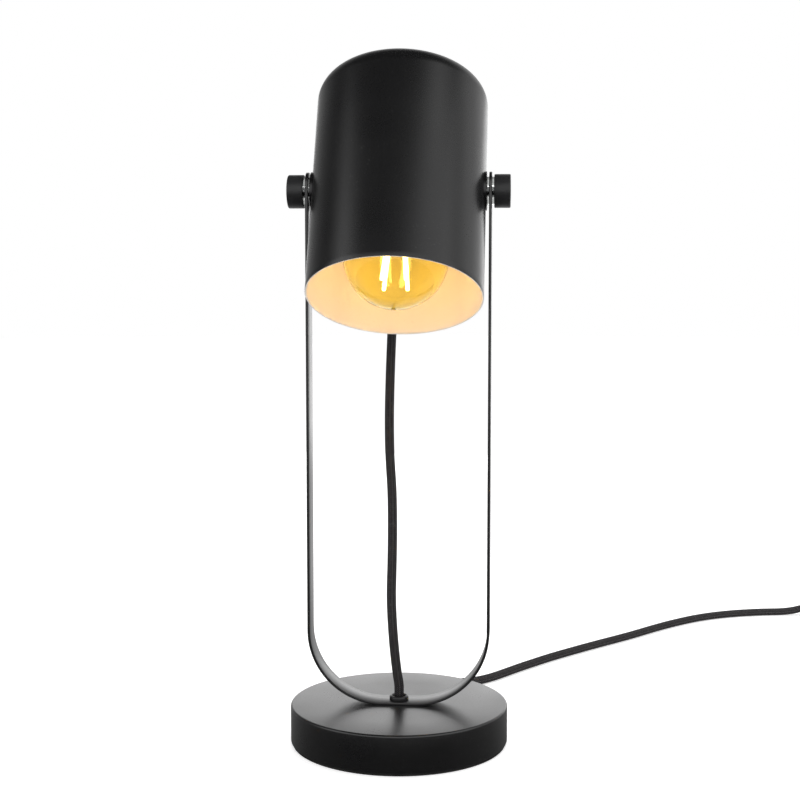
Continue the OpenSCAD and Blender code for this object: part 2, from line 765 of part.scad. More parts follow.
module holder_insulator() {
  color("#e6e2d8") on_shade() tube_z(holder_r - holder_wall - slip, 2, insulator_low, holder_split - slip);
}

module holder_contact() {
  color("#c9a45a") on_shade() {
    translate([0, 0, contact_low]) cylinder(r = 4, h = insulator_low - contact_low);
    translate([0, 0, contact_low]) cylinder(r = 2 - slip, h = holder_split - contact_low + 1);
  }
}

module holder_lead() {
  color("#222222") on_shade() translate([0, 0, holder_split + 6])
    cylinder(r = cord_r, h = grip_high - holder_split - 6);
}

module cord_grip() {
  color("#1a1a1a") on_shade() difference() {
    rotate_extrude() difference() {
      edged_outline(grip_d / 2, end_reach, grip_high, 1.6);
      translate([0, end_reach - cut]) square([tube_d / 2 + slip, tube_high - end_reach + cut + slip]);
      translate([0, end_reach]) square([cord_r + slip, grip_l + cut]);
    }
    translate([0, 0, grip_high - 1.5 - 1.1]) rotate([-90, 0, 0]) cylinder(r = 1.1, h = grip_d);
  }
}

module grip_screw() {
  color("#b8b8ba") on_shade() translate([0, cord_r + 0.15, grip_high - 1.5 - 1.1]) rotate([-90, 0, 0])
    cylinder(r = 1, h = grip_d / 2 - cord_r - 0.4);
}

module knob(side) {
  color("#161616") on_pivot(side) translate([knob_x, 0, 0]) rotate([0, 90, 0]) difference() {
    rotate_extrude() intersection() {
      edged_outline(knob_d / 2, -knob_l, knob_l, knob_edge_r);
      translate([0, knob_l]) mirror([0, 1]) edged_outline(knob_d / 2, 0, knob_l + knob_l, knob_edge_r / 2);
      square([knob_d, knob_l]);
    }
    translate([0, 0, -cut]) cylinder(r = insert_d / 2 + 0.02, h = insert_l + slip + cut);
  }
}

module knob_insert(side) {
  color("#c9a45a") on_pivot(side) translate([knob_x, 0, 0]) rotate([0, 90, 0])
    tube_z(insert_d / 2, bolt_d / 2 + running, 0.2, insert_l);
}

// Outline of the bulb's glass, or of the space inside it, from the axis outwards
module glass_outline(inset) {
  translate([0, -globe_reach]) intersection() {
    circle(globe_r - inset, $fn = 180);
    translate([0, -globe_r]) square([globe_r, 2 * globe_r]);
  }
  polygon([[0, shoulder_z - 6], [shoulder_r - inset, shoulder_z],
    [shoulder_r * 0.8 - inset, shoulder_z + 5], [neck_r + 3 - inset, shoulder_z + 12], [neck_r + 0.8 - inset, cap_low - 3], [neck_r - inset, cap_low],
    [neck_r - inset, cap_low + 6], [0, cap_low + 6]]);
}

module bulb_glass() {
  color("#d89a3a", 0.35) on_shade() rotate_extrude() difference() {
    glass_outline(0);
    glass_outline(glass_t);
    translate([0, cap_low + 6 - glass_t]) square([neck_r - glass_t, 2 * glass_t]);
  }
}

module bulb_cap() {
  color("#c9b27a") on_shade() rotate_extrude() difference() {
    polygon([[0, cap_low], [cap_d / 2, cap_low], [cap_d / 2, cap_high - 4], [cap_d / 2 - 4, cap_high],
      [0, cap_high]]);
    polygon([[0, cap_low - cut], [cap_d / 2 - cap_t, cap_low - cut], [cap_d / 2 - cap_t, cap_high - 4.2],
      [cap_d / 2 - 4.2, cap_high - cap_t], [0, cap_high - cap_t]]);
    square([5, cap_high + cut]);
  }
}

module bulb_insulator() {
  color("#20242c") on_shade() rotate_extrude()
    polygon([[0, cap_high - 1.6], [4.8, cap_high - 1.6], [4.8, cap_high], [8, cap_high],
      [5, bulb_tip_high - 1.2], [0, bulb_tip_high - 1.2]]);
}

module bulb_contact() {
  color("#b8b8ba") on_shade() translate([0, 0, bulb_tip_high - 1.2]) cylinder(r = 4, h = 1.2);
}

stem_r = 3;
stem_low = -24;
// The wires that carry the filaments meet in a thin mast that is set in the stem's lower end
mast_r = 0.9;
mast_l = 2;
wire_r = 0.4;

module bulb_stem() {
  flare_z = cap_low + 5;
  color("#dfe3e0", 0.35) on_shade() rotate_extrude()
    polygon([[mast_r + slip, stem_low], [stem_r, stem_low], [stem_r, flare_z - 9],
      [stem_r + 2, flare_z - 3], [neck_r - glass_t - slip, flare_z], [0, flare_z],
      [0, stem_low + mast_l + slip], [mast_r + slip, stem_low + mast_l + slip]]);
}

filament_count = 4;
filament_high = stem_low - 4;
filament_low = -globe_reach - 22;
filament_top_r = 6.5;
filament_low_r = 12;

// Four glowing sticks that spread downwards, on fine wires from the stem
module bulb_filament() {
  lean = atan((filament_low_r - filament_top_r) / (filament_high - filament_low));
  stick_l = (filament_high - filament_low) / cos(lean);
  wire_angle = 60;
  color("#ffe9b0") on_shade() {
    translate([0, 0, stem_low - mast_l]) cylinder(r = mast_r, h = 2 * mast_l);
    for (k = [0 : filament_count - 1]) rotate([0, 0, 45 + 90 * k]) {
      translate([filament_top_r, 0, filament_high]) rotate([0, 180 - lean, 0])
        cylinder(r = filament_d / 2, h = stick_l, $fn = 24);
      translate([filament_top_r, 0, filament_high - 0.5]) rotate([0, -wire_angle, 0])
        cylinder(r = wire_r, h = (filament_top_r - mast_r / 2) / sin(wire_angle), $fn = 24);
    }
  }
}

base_cover();
base_weight();
base_plate();
base_pad();
plate_screws();
strap();
gland_bush();
gland_nipple();
lock_washer();
gland_nut();
lead_clamp();
rear_bush();
inner_lead();
pendant_lead();
mains_lead();
mains_link();
mains_coil();
mains_tail();
coil_tie();
switch_base();
switch_cover();
switch_contacts();
switch_screws();
switch_rocker();
plug_body();
plug_pins();
plug_sleeves();
outer_washer(-1);  // outer_washer_left
outer_washer(1);  // outer_washer_right
shade_shell();
pivot_pad(-1);  // pivot_pad_left
pivot_pad(1);  // pivot_pad_right
pivot_bolt(-1);  // pivot_bolt_left
pivot_bolt(1);  // pivot_bolt_right
backing_washer(-1);  // backing_washer_left
backing_washer(1);  // backing_washer_right
inner_washer(-1);  // inner_washer_left
inner_washer(1);  // inner_washer_right
holder_tube();
holder_nut();
holder_washer();
holder_cap();
holder_skirt();
holder_shell();
holder_insulator();
holder_contact();
holder_lead();
cord_grip();
grip_screw();
knob(-1);  // knob_left
knob(1);  // knob_right
knob_insert(-1);  // knob_insert_left
knob_insert(1);  // knob_insert_right
bulb_glass();
bulb_cap();
bulb_insulator();
bulb_contact();
bulb_stem();
bulb_filament();
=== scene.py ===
"""Dresses the CAD frame of a tabletop searchlight lamp: a can shade tilting in a flat bar on a round foot."""

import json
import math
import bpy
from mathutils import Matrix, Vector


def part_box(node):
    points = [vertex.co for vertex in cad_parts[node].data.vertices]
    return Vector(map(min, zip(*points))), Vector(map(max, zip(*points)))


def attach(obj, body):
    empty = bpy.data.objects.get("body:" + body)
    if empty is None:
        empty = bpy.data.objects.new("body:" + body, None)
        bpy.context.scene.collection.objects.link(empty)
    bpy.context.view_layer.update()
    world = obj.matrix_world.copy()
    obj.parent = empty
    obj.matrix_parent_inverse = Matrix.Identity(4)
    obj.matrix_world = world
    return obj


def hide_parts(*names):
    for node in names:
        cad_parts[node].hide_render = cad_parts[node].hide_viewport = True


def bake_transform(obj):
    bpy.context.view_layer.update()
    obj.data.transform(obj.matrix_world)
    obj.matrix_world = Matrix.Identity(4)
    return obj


bl_info = {
    "name": "Tabletop Searchlight Lamp",
    "version": (1, 0, 0),
    "blender": (4, 5, 0),
    "location": "3D View > Sidebar > Lamp",
    "description": "Models the visible pieces of a tilting table lamp over its CAD frame and finishes them",
    "category": "Add Mesh",
}

import bmesh
import bpy
from mathutils import Vector

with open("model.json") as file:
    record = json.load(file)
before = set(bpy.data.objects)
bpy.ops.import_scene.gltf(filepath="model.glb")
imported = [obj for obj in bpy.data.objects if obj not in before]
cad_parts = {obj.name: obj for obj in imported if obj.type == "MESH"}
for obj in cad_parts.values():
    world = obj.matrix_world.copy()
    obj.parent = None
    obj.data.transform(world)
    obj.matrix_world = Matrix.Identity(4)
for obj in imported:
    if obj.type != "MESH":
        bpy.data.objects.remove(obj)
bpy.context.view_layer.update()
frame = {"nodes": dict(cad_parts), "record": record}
NODES = frame["nodes"]


def node_low(node):
    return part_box(node)[0]


def node_high(node):
    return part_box(node)[1]


# ---------------------------------------------------------------------------
# Sizes and colours
# ---------------------------------------------------------------------------


def a_number(name, description, default, **limits):
    return bpy.props.FloatProperty(name=name, description=description, default=default, **limits)


def a_length(name, description, default):
    """A length in metres, as a property."""
    return a_number(name, description, default, min=0.0, precision=5, subtype="DISTANCE", unit="LENGTH")


def an_angle(name, description, degrees):
    return a_number(name, description, math.radians(degrees), subtype="ANGLE", unit="ROTATION")


def a_colour(name, description, default):
    return bpy.props.FloatVectorProperty(
        name=name, description=description, default=default, size=3, min=0.0, max=1.0, subtype="COLOR"
    )


def a_share(name, description, default, top=1.0):
    return a_number(name, description, default, min=0.0, max=top, subtype="FACTOR")


def a_power(name, description, default):
    return a_number(name, description, default, min=0.0, subtype="POWER", unit="POWER")


class FootSizes(bpy.types.PropertyGroup):
    radius: a_length("Radius", "Radius of the spun cover", node_high("base_cover").x)
    low: a_length("Lower edge", "Height of the cover's lower edge above the table", node_low("base_cover").z)
    high: a_length("Top", "Height of the cover's top above the table", node_high("base_cover").z)
    edge: a_length("Edge radius", "Rounding of the cover's top edge", 0.0016)
    wall: a_length("Wall", "Sheet thickness of the cover", 0.0016)


class StrapSizes(bpy.types.PropertyGroup):
    width: a_length("Width", "Width of the flat bar", node_high("strap").y * 2)
    thickness: a_length("Thickness", "Thickness of the flat bar", 0.002)
    half_span: a_length("Half span", "From the middle to the outer face of an upright", node_high("strap").x)
    bend: a_length("Bend radius", "Outer radius of the two lower bends", 0.055)
    low: a_length("Foot of the bar", "Height of the underside of the bar", node_low("strap").z)
    high: a_length("Ear top", "Height of the top of the round ears", node_high("strap").z)


class ShadeSizes(bpy.types.PropertyGroup):
    pivot: a_length("Pivot height", "Height of the tilting axis above the table", 0.404)
    tilt: an_angle("Tilt", "Lean of the shade's closed end towards the back", 27.3)
    radius: a_length("Radius", "Outer radius of the can", node_high("shade_shell").x)
    mouth: a_length("Mouth", "Distance from the axis to the open rim", 0.0843)
    end: a_length("Closed end", "Distance from the axis to the closed end", 0.086)
    edge: a_length("End edge radius", "Rounding of the closed end", 0.016)
    wall: a_length("Wall", "Thickness of the spun sheet", 0.0012)


class KnobSizes(bpy.types.PropertyGroup):
    inner: a_length("Inner face", "From the middle to the knob's inner face", node_low("knob_right").x)
    outer: a_length("Outer face", "From the middle to the knob's outer face", node_high("knob_right").x)
    radius: a_length("Radius", "Radius of a knob", node_high("knob_right").y)
    edge: a_length("Edge radius", "Rounding of the outer edge", 0.0009)


class BulbSizes(bpy.types.PropertyGroup):
    globe: a_length("Globe radius", "Radius of the glass globe", 0.0375)
    reach: a_length("Globe reach", "Distance from the tilting axis to the globe's middle", 0.053)
    glass: a_length("Glass", "Thickness of the glass", 0.0008)
    stick: a_length("Filament radius", "Radius of one glowing stick", 0.0014)
    stick_high: a_length("Stick top", "Upper end of a stick, below the tilting axis", 0.028)
    stick_low: a_length("Stick bottom", "Lower end of a stick, below the tilting axis", 0.075)
    spread_high: a_length("Upper spread", "Distance of a stick's upper end from the bulb's axis", 0.0065)
    spread_low: a_length("Lower spread", "Distance of a stick's lower end from the bulb's axis", 0.012)


class CordSizes(bpy.types.PropertyGroup):
    diameter: a_length("Diameter", "Diameter of the braided lead", 0.007)
    sides: bpy.props.IntProperty(name="Sides", description="Faces round the lead", default=20, min=8, max=48)
    step: a_length("Step", "Distance between the lead's rings along a straight run", 0.004)
    coil_turns: a_number("Turns", "Turns in each layer of the coil", 2.25, min=0.5)
    coil_radius: a_length("Coil radius", "Radius of the outermost turn", 0.0465)
    coil_pitch: a_length("Coil pitch", "Distance between turns side by side", 0.0087)
    coil_rise: a_length("Coil rise", "Height of the upper layer over the lower", 0.0075)
    coil_low: a_length("Coil height", "Height of the lower layer's centreline", 0.0046)
    coil_x: a_length("Coil middle", "Place of the coil's middle along X", 0.478)


class FlexSizes(bpy.types.PropertyGroup):
    switch_x: a_length("Switch middle", "Place of the in-line switch along X", 0.413)
    line_y: a_length("Lead line", "Place along Y of the switch and the plug", 0.424)
    switch_l: a_length("Switch length", "Length of the in-line switch", 0.058)
    switch_w: a_length("Switch width", "Width of the in-line switch", 0.024)
    switch_h: a_length("Switch height", "Height of the in-line switch", 0.017)
    plug_x: a_length("Plug back", "Where the lead enters the plug, along X", 0.528)
    plug_l: a_length("Plug length", "Length of the plug's body", 0.036)
    plug_w: a_length("Plug width", "Width of the plug across its pins", 0.0353)
    plug_t: a_length("Plug thickness", "Thickness of the plug's body", 0.0137)


class Finishes(bpy.types.PropertyGroup):
    paint: a_colour("Black paint", "Powder coat of shade, bar and foot", (0.0068, 0.0068, 0.0072))
    enamel: a_colour("White inside", "Coat on the inside of the shade", (0.88, 0.84, 0.77))
    plastic: a_colour("Black plastic", "Knobs, switch and plug", (0.017, 0.017, 0.018))
    rubber: a_colour("Rubber", "Pad under the foot", (0.014, 0.014, 0.014))
    textile: a_colour("Braid", "Yarn of the lead's sleeve", (0.150, 0.142, 0.146))
    washer: a_colour("Clear washers", "Smoky clear plastic of the washers", (0.42, 0.43, 0.42))
    amber: a_colour("Amber glass", "Tint of the bulb's glass", (1.0, 0.97, 0.50))
    glow: a_colour("Glow", "Colour of the lit sticks", (1.0, 0.69, 0.29))
    glow_strength: a_number("Glow strength", "Emission of the lit sticks", 10.5, min=0.0)
    brass: a_colour("Brass", "Threaded tubes and inserts", (0.60, 0.42, 0.17))
    zinc: a_colour("Zinc", "Bolts, screws and closing plate", (0.56, 0.56, 0.58))
    iron: a_colour("Iron", "Cast weight in the foot", (0.10, 0.10, 0.105))
    ceramic: a_colour("Ceramic", "Insulators of lampholder and bulb", (0.72, 0.70, 0.65))


class StudioSettings(bpy.types.PropertyGroup):
    camera_place: bpy.props.FloatVectorProperty(
        name="Camera", description="Place of the camera", default=(0.0937, -1.0697, 0.3542),
        subtype="TRANSLATION", unit="LENGTH",
    )
    camera_pitch: an_angle("Pitch", "Camera's angle from straight down", 84.649)
    camera_turn: an_angle("Turn", "Camera's turn about the vertical", 4.968)
    lens: a_number("Lens", "Focal length in millimetres", 66.73, min=1.0)
    right_power: a_power("Right softbox", "Power of the softbox on the right", 1.5)
    left_power: a_power("Left softbox", "Power of the softbox on the left", 0.8)
    top_power: a_power("Top softbox", "Power of the softbox above and behind", 10.0)
    bulb_power: a_power("Bulb", "Power of the lamp's own light", 0.028)
    bulb_colour: a_colour("Bulb colour", "Colour of the lamp's own light", (1.0, 0.62, 0.15))
    back_power: a_power("Back softbox", "Power of the softbox low behind the lamp", 3.6)
    fill: a_number("Fill", "Strength of the room's light on matt surfaces", 0.6, min=0.0)
    lift: a_share("Floor lift", "Light the floor adds where the camera sees it", 0.55)
    front: a_share("Front reflection", "How bright the room in front of the lamp looks in gloss", 1.2, 2.0)
    dark: a_share("Dark reflection", "How bright the ceiling looks in gloss", 0.02)


# ---------------------------------------------------------------------------
# Modelling helpers
# ---------------------------------------------------------------------------


def clear_selection():
    if bpy.context.mode != "OBJECT":
        bpy.ops.object.mode_set(mode="OBJECT")
    bpy.ops.object.select_all(action="DESELECT")


def only(piece):
    """Makes a piece the one selected and active object."""
    clear_selection()
    piece.select_set(True)
    bpy.context.view_layer.objects.active = piece
    return piece


def new_piece(name):
    """Names the object that the last primitive operator made."""
    piece = bpy.context.active_object
    piece.name = name
    piece.data.name = name
    return piece


def edit(piece):
    only(piece)
    bpy.ops.object.mode_set(mode="EDIT")
    return piece


def pick(piece, kind, test):
    """Selects, in edit mode, the vertices, edges or faces that pass a test."""
    bpy.ops.mesh.select_mode(type=kind)
    bpy.ops.mesh.select_all(action="DESELECT")
    mesh = bmesh.from_edit_mesh(piece.data)
    mesh.normal_update()
    parts = {"VERT": mesh.verts, "EDGE": mesh.edges, "FACE": mesh.faces}[kind]
    found = [part for part in parts if test(part)]
    for part in found:
        part.select_set(True)
    mesh.select_flush_mode()
    bmesh.update_edit_mesh(piece.data)
    if not found:
        raise RuntimeError(f"{piece.name}: nothing to pick")


def round_off(piece, test, width, segments):
    """Rounds, in edit mode, the edges that pass a test."""
    pick(piece, "EDGE", test)
    bpy.ops.mesh.bevel(offset=width, segments=segments, affect="EDGES", offset_type="OFFSET")


def bridge_rims(piece):
    """Closes a turned ring by joining its two open rims."""
    edit(piece)
    pick(piece, "EDGE", lambda e: e.is_boundary)
    bpy.ops.mesh.bridge_edge_loops()
    clear_selection()


def flip(piece):
    """Turns every face of a piece over."""
    edit(piece)
    bpy.ops.mesh.select_all(action="SELECT")
    bpy.ops.mesh.flip_normals()
    clear_selection()


def middle(edge):
    return (edge.verts[0].co + edge.verts[1].co) / 2


def face_height(polygon):
    return polygon.center.z


def level(value, tolerance=1e-6):
    """A test for edges that lie flat at a height."""
    return lambda edge: all(abs(v.co.z - value) < tolerance for v in edge.verts)


def use_modifier(piece, kind, **settings):
    """Adds a modifier and applies it."""
    only(piece)
    modifier = piece.modifiers.new(kind.title(), kind)
    for name, value in settings.items():
        setattr(modifier, name, value)
    bpy.ops.object.modifier_apply(modifier=modifier.name)
    return piece


def soften(piece, width, segments=3, angle=40.0):
    """Rounds the sharp edges of a piece."""
    return use_modifier(
        piece, "BEVEL", width=width, segments=segments, limit_method="ANGLE", angle_limit=math.radians(angle),
        miter_outer="MITER_ARC", harden_normals=False, use_clamp_overlap=True,
    )


def smooth(piece, angle=32.0):
    only(piece)
    bpy.ops.object.shade_smooth_by_angle(angle=math.radians(angle))
    return piece


def outward(piece):
    """Points the faces of a closed piece outwards."""
    edit(piece)
    bpy.ops.mesh.select_all(action="SELECT")
    bpy.ops.mesh.remove_doubles(threshold=1e-6)
    bpy.ops.mesh.normals_make_consistent(inside=False)
    bpy.ops.object.mode_set(mode="OBJECT")
    return piece


def turned(name, rings, sides=96, close_start=True, close_end=True):
    """A turned piece about Z: one circle, extruded and scaled through (radius, height) rings."""
    clear_selection()
    radius, height = rings[0]
    bpy.ops.mesh.primitive_circle_add(vertices=sides, radius=radius, fill_type="NOTHING", location=(0, 0, 0))
    piece = new_piece(name)
    edit(piece)
    bpy.ops.mesh.select_mode(type="EDGE")
    bpy.ops.mesh.select_all(action="SELECT")
    bpy.ops.transform.translate(value=(0, 0, height))
    start = height
    for next_radius, next_height in rings[1:]:
        bpy.ops.mesh.extrude_region_move(TRANSFORM_OT_translate={"value": (0, 0, next_height - height)})
        if next_radius < 1e-7:
            bpy.ops.mesh.merge(type="CENTER")
            close_end = False
            break
        share = next_radius / radius
        if abs(share - 1) > 1e-9:
            bpy.ops.transform.resize(value=(share, share, 1), center_override=(0, 0, next_height))
        radius, height = next_radius, next_height
    if close_end:
        bpy.ops.mesh.edge_face_add()
    if close_start:
        pick(piece, "EDGE", lambda e: e.is_boundary and level(start)(e))
        bpy.ops.mesh.edge_face_add()
    bpy.ops.object.mode_set(mode="OBJECT")
    return outward(piece)


def quarter(centre_r, centre_z, radius, first, last, steps):
    """Ring points of an arc in the turning profile; angles in degrees from straight out."""
    return [
        (
            centre_r + radius * math.cos(math.radians(first + (last - first) * k / steps)),
            centre_z + radius * math.sin(math.radians(first + (last - first) * k / steps)),
        )
        for k in range(steps + 1)
    ]


def put(piece, place=(0, 0, 0), turn=(0, 0, 0)):
    """Moves and turns a piece to its place in the lamp, and sets that in its mesh."""
    only(piece)
    piece.location = place
    piece.rotation_euler = turn
    bpy.ops.object.transform_apply(location=True, rotation=True, scale=True)
    return piece


def put_on_shade(piece):
    shade = bpy.context.scene.lamp_shade
    return put(piece, (0, 0, shade.pivot), (-shade.tilt, 0, 0))


def shade_point(x, y, z):
    """A point on the shade's own axes, in the lamp's frame."""
    shade = bpy.context.scene.lamp_shade
    c, s = math.cos(shade.tilt), math.sin(shade.tilt)
    return Vector((x, y * c + z * s, shade.pivot - y * s + z * c))


def dress(piece, body, slot, *materials, stands_for=()):
    """Gives a piece its finish and the body that it rides on; the slot argument is not used."""
    piece.data.materials.clear()
    for material in materials:
        piece.data.materials.append(material)
    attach(piece, body)
    if stands_for:
        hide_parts(*stands_for)
    return piece


def copy_across(piece, name):
    """A second piece on the other side of the lamp's middle plane, with its own mesh."""
    only(piece)
    bpy.ops.object.duplicate(linked=False)
    other = new_piece(name)
    bpy.ops.transform.resize(value=(-1, 1, 1), center_override=(0, 0, 0))
    bpy.ops.object.transform_apply(location=True, rotation=True, scale=True)
    return outward(other)


# ---------------------------------------------------------------------------
# Node groups and materials
# ---------------------------------------------------------------------------


class Wiring:
    """Small help for laying out nodes in a tree."""

    def __init__(self, tree):
        self.tree = tree
        self.column = 0

    def node(self, kind, **settings):
        made = self.tree.nodes.new(kind)
        self.column += 1
        made.location = (self.column * 180 - 1800, -(self.column % 5) * 160)
        for name, value in settings.items():
            setattr(made, name, value)
        return made

    def link(self, source, target):
        self.tree.links.new(source, target)

    def feed(self, target, value):
        """Sets a socket to a number, a colour or another node's output."""
        if isinstance(value, bpy.types.NodeSocket):
            self.link(value, target)
        else:
            target.default_value = value

    def math(self, operation, first, second=0.0):
        made = self.node("ShaderNodeMath", operation=operation)
        self.feed(made.inputs[0], first)
        self.feed(made.inputs[1], second)
        return made.outputs[0]

    def mix(self, share, first, second):
        made = self.node("ShaderNodeMix", data_type="RGBA")
        self.feed(made.inputs[0], share)
        self.feed(made.inputs[6], first)
        self.feed(made.inputs[7], second)
        return made.outputs[2]

    def choose(self, share, first, second):
        """The first value where share is 1, the second where it is 0."""
        kept = self.math("MULTIPLY", first, share)
        return self.math("ADD", kept, self.math("MULTIPLY", second, self.math("SUBTRACT", 1.0, share)))

    def spread(self, value, low, high, to_low=0.0, to_high=1.0):
        made = self.node("ShaderNodeMapRange", clamp=True)
        self.feed(made.inputs["Value"], value)
        made.inputs["From Min"].default_value = low
        made.inputs["From Max"].default_value = high
        self.feed(made.inputs["To Min"], to_low)
        self.feed(made.inputs["To Max"], to_high)
        return made.outputs["Result"]

    def noise(self, vector, scale, detail=2.0, roughness=0.5):
        made = self.node("ShaderNodeTexNoise")
        self.link(vector, made.inputs["Vector"])
        self.feed(made.inputs["Scale"], scale)
        made.inputs["Detail"].default_value = detail
        made.inputs["Roughness"].default_value = roughness
        return made.outputs["Fac"]


def new_group(name, inputs, outputs):
    """A shader node group with named sockets: (name, kind, default)."""
    group = bpy.data.node_groups.new(name, "ShaderNodeTree")
    for label, kind, default in inputs:
        socket = group.interface.new_socket(name=label, in_out="INPUT", socket_type=kind)
        if default is not None:
            socket.default_value = default
    for label, kind in outputs:
        group.interface.new_socket(name=label, in_out="OUTPUT", socket_type=kind)
    wiring = Wiring(group)
    return group, wiring, wiring.node("NodeGroupInput"), wiring.node("NodeGroupOutput")


def powder_coat_group():
    """Fine orange peel of a baked coat, cloudy gloss and a little dust."""
    group, w, given, out = new_group(
        "Powder coat",
        [
            ("Colour", "NodeSocketColor", (0.012, 0.012, 0.013, 1.0)),
            ("Dust", "NodeSocketColor", (0.05, 0.05, 0.05, 1.0)),
            ("Gloss", "NodeSocketFloat", 0.42),
            ("Grain scale", "NodeSocketFloat", 1100.0),
        ],
        [("Colour", "NodeSocketColor"), ("Roughness", "NodeSocketFloat"), ("Height", "NodeSocketFloat")],
    )
    place = w.node("ShaderNodeTexCoord").outputs["Object"]
    peel = w.noise(place, given.outputs["Grain scale"], 3.0, 0.55)
    cloud = w.noise(place, 22.0, 3.0, 0.5)
    speck = w.noise(place, 640.0, 1.0, 0.4)
    dusty = w.math("MULTIPLY", w.spread(speck, 0.66, 0.78), w.spread(cloud, 0.45, 0.7, 0.1, 0.6))
    w.link(w.mix(dusty, given.outputs["Colour"], given.outputs["Dust"]), out.inputs["Colour"])
    rough = w.math("ADD", given.outputs["Gloss"], w.spread(cloud, 0.3, 0.7, -0.025, 0.03))
    w.link(w.math("ADD", rough, w.spread(peel, 0.3, 0.7, -0.02, 0.03)), out.inputs["Roughness"])
    w.link(peel, out.inputs["Height"])
    return group


def moulded_group():
    """Spark-eroded grain of moulded plastic with faint handling gloss."""
    group, w, given, out = new_group(
        "Moulded grain",
        [
            ("Colour", "NodeSocketColor", (0.02, 0.02, 0.02, 1.0)),
            ("Worn", "NodeSocketColor", (0.04, 0.04, 0.04, 1.0)),
            ("Gloss", "NodeSocketFloat", 0.4),
            ("Grain scale", "NodeSocketFloat", 1600.0),
        ],
        [("Colour", "NodeSocketColor"), ("Roughness", "NodeSocketFloat"), ("Height", "NodeSocketFloat")],
    )
    place = w.node("ShaderNodeTexCoord").outputs["Object"]
    pits = w.node("ShaderNodeTexVoronoi", feature="SMOOTH_F1")
    w.link(place, pits.inputs["Vector"])
    w.link(given.outputs["Grain scale"], pits.inputs["Scale"])
    fine = w.noise(place, given.outputs["Grain scale"], 2.0, 0.6)
    hands = w.noise(place, 60.0, 3.0, 0.5)
    worn = w.spread(hands, 0.4, 0.8, 0.0, 0.5)
    w.link(w.mix(worn, given.outputs["Colour"], given.outputs["Worn"]), out.inputs["Colour"])
    polish = w.spread(hands, 0.3, 0.7, 0.04, -0.05)
    w.link(w.math("ADD", given.outputs["Gloss"], polish), out.inputs["Roughness"])
    deep = w.math("MULTIPLY", pits.outputs["Distance"], 0.6)
    w.link(w.math("ADD", deep, w.math("MULTIPLY", fine, 0.4)), out.inputs["Height"])
    return group


def metal_group():
    """Brushed or turned metal with darker stains."""
    group, w, given, out = new_group(
        "Worked metal",
        [
            ("Colour", "NodeSocketColor", (0.6, 0.6, 0.6, 1.0)),
            ("Stain", "NodeSocketColor", (0.3, 0.3, 0.3, 1.0)),
            ("Gloss", "NodeSocketFloat", 0.3),
            ("Stretch", "NodeSocketVector", (1.0, 1.0, 18.0)),
        ],
        [("Colour", "NodeSocketColor"), ("Roughness", "NodeSocketFloat"), ("Height", "NodeSocketFloat")],
    )
    place = w.node("ShaderNodeTexCoord").outputs["Object"]
    stretched = w.node("ShaderNodeVectorMath", operation="MULTIPLY")
    w.link(place, stretched.inputs[0])
    w.link(given.outputs["Stretch"], stretched.inputs[1])
    lines = w.noise(stretched.outputs[0], 260.0, 3.0, 0.6)
    stains = w.noise(place, 90.0, 4.0, 0.55)
    stained = w.spread(stains, 0.5, 0.8, 0.0, 0.55)
    w.link(w.mix(stained, given.outputs["Colour"], given.outputs["Stain"]), out.inputs["Colour"])
    brushed = w.spread(lines, 0.3, 0.7, -0.06, 0.09)
    w.link(w.math("ADD", given.outputs["Gloss"], brushed), out.inputs["Roughness"])
    w.link(lines, out.inputs["Height"])
    return group


